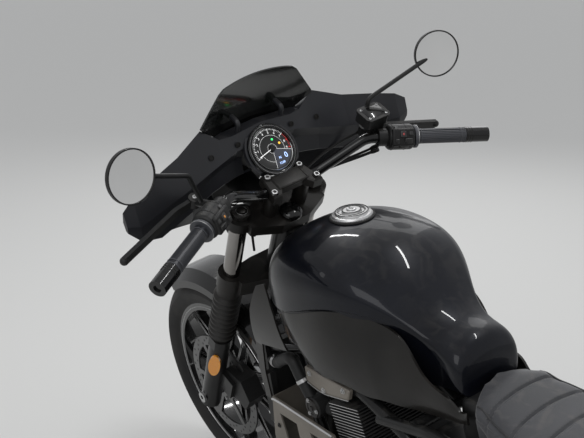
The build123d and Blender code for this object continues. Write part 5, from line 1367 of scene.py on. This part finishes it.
@dataclass
class Studio:
    """The pale floor, the soft lights and the camera at the photograph's angle."""

    eye: Point = (-0.50655, 1.24594, 1.41972)
    yaw: float = -34.14
    pitch: float = 15.70
    lens: float = 55.564
    sensor: float = 36.0
    floor_size: float = 160.0
    floor_tone: float = 0.64
    sky: float = 0.66
    sight: float = 250.0
    lamp_size: float = 3.0
    tube_width: float = 0.07
    tube_power: float = 12.0

    def camera(self) -> None:
        """Place the camera; its position is measured from the upright rear contact point."""
        ground = STANCE.bike.translation
        place = Vector(self.eye) + Vector((ground.x, ground.y, 0))
        data = bpy.data.cameras.new("photo_view")
        data.lens = self.lens
        data.sensor_width = self.sensor
        data.clip_end = self.sight
        view = bpy.data.objects.new("photo_view", data)
        view.location = place
        view.rotation_euler = Euler((radians(90 - self.pitch), 0, radians(self.yaw - 90)))
        bpy.context.scene.collection.objects.link(view)
        bpy.context.scene.camera = view

    def backdrop_material(self) -> bpy.types.Material:
        """Return the floor's pale finish, which keeps the machine's shadow."""
        made = bpy.data.materials.new("studio_floor")
        made.use_nodes = True
        shader = made.node_tree.nodes["Principled BSDF"]
        shader.inputs["Base Color"].default_value = (self.floor_tone, self.floor_tone, self.floor_tone * 0.98, 1)
        shader.inputs["Roughness"].default_value = 0.9
        return made

    def floor(self) -> None:
        """Lay the floor."""
        bpy.ops.object.select_all(action="DESELECT")
        bpy.ops.mesh.primitive_plane_add(size=self.floor_size, location=(0, 0, 0))
        sheet = bpy.context.object
        sheet.name = "studio_floor"
        sheet.data.materials.append(self.backdrop_material())

    def lamp(self, name: str, place: Point, aim: Point, size: float, power: float) -> None:
        """Hang one square soft light.

        Args:
            name: the light's name.
            place: where it hangs, in metres.
            aim: the point it faces.
            size: its side in metres.
            power: its power in watts.
        """
        data = bpy.data.lights.new(name, "AREA")
        data.shape = "SQUARE"
        data.size = size
        data.energy = power
        lamp = bpy.data.objects.new(name, data)
        lamp.location = place
        lamp.rotation_euler = (Vector(place) - Vector(aim)).to_track_quat("Z", "Y").to_euler()
        bpy.context.scene.collection.objects.link(lamp)

    def light(self) -> None:
        """Set the pale surroundings, two soft lamps and two narrow ones."""
        world = bpy.data.worlds.new("studio")
        bpy.context.scene.world = world
        world.use_nodes = True
        tree = world.node_tree
        background = tree.nodes["Background"]
        background.inputs["Color"].default_value = (0.93, 0.94, 0.96, 1)
        background.inputs["Strength"].default_value = self.sky
        self.lamp("key", (-2.2, 3.4, 3.6), (0, 0, 0.6), self.lamp_size, 58)
        self.lamp("rim", (3.2, -2.6, 3.2), (0.2, 0, 0.7), self.lamp_size, 44)
        self.tube("front_tube", (2.213, -0.248, 3.04), (1.685, -0.691, 3.344), (0.1, 0.05, 0.91))
        self.tube("rear_tube", (0.503, -1.145, 3.637), (-0.897, -0.954, 3.59), (-0.02, 0.0, 0.89))

    def tube(self, name: str, start: Point, end: Point, aim: Point) -> None:
        """Hang one long narrow light, which leaves a thin line on the tank.

        Args:
            name: the light's name.
            start: one end, in metres.
            end: the other end, in metres.
            aim: the point it faces.
        """
        way = Vector(end) - Vector(start)
        middle = (Vector(start) + Vector(end)) / 2
        out = (middle - Vector(aim)).normalized()
        side = way.normalized()
        up = out.cross(side).normalized()
        data = bpy.data.lights.new(name, "AREA")
        data.shape = "RECTANGLE"
        data.size = way.length
        data.size_y = self.tube_width
        data.energy = self.tube_power * way.length
        lamp = bpy.data.objects.new(name, data)
        lamp.matrix_world = Matrix.Translation(middle) @ Matrix((side, up, side.cross(up))).transposed().to_4x4()
        bpy.context.scene.collection.objects.link(lamp)

    def build(self) -> None:
        """Build the whole studio."""
        self.camera()
        self.floor()
        self.light()
        bpy.context.scene.view_settings.view_transform = "Standard"


def main() -> None:
    """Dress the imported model, add the detailed pieces and set up the studio."""
    logging.basicConfig(level=logging.INFO, format="%(message)s")
    Studio().build()
    NodeDresser().dress()
    Cushion("rider_seat", (440.0, 385.0, 330.0, 275.0, 220.0), 700.0, 130.0).build()
    Cushion("pillion_seat", (60.0, 5.0, -50.0), 742.0, 110.0).build()
    Controls().build()
    Gauge().build()
    Wheel("front_wheel_spin", Body.FRONT_WHEEL, 219.6, (150.0, 60.0, 65.0)).build(49.0)
    Wheel("rear_wheel_spin", Body.REAR_WHEEL, 194.2, (128.0, -99.0, -94.0)).build(75.0)
    Tyre("front_tyre", Body.FRONT_WHEEL, "front_wheel_spin", 65.0, 70.0, 228.6, 44.0).build()
    Tyre("rear_tyre", Body.REAR_WHEEL, "rear_wheel_spin", 90.0, 105.0, 203.2, 70.0).build()
    Engine().build()
    Trim().build()
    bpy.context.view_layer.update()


if __name__ == "__main__":
    main()
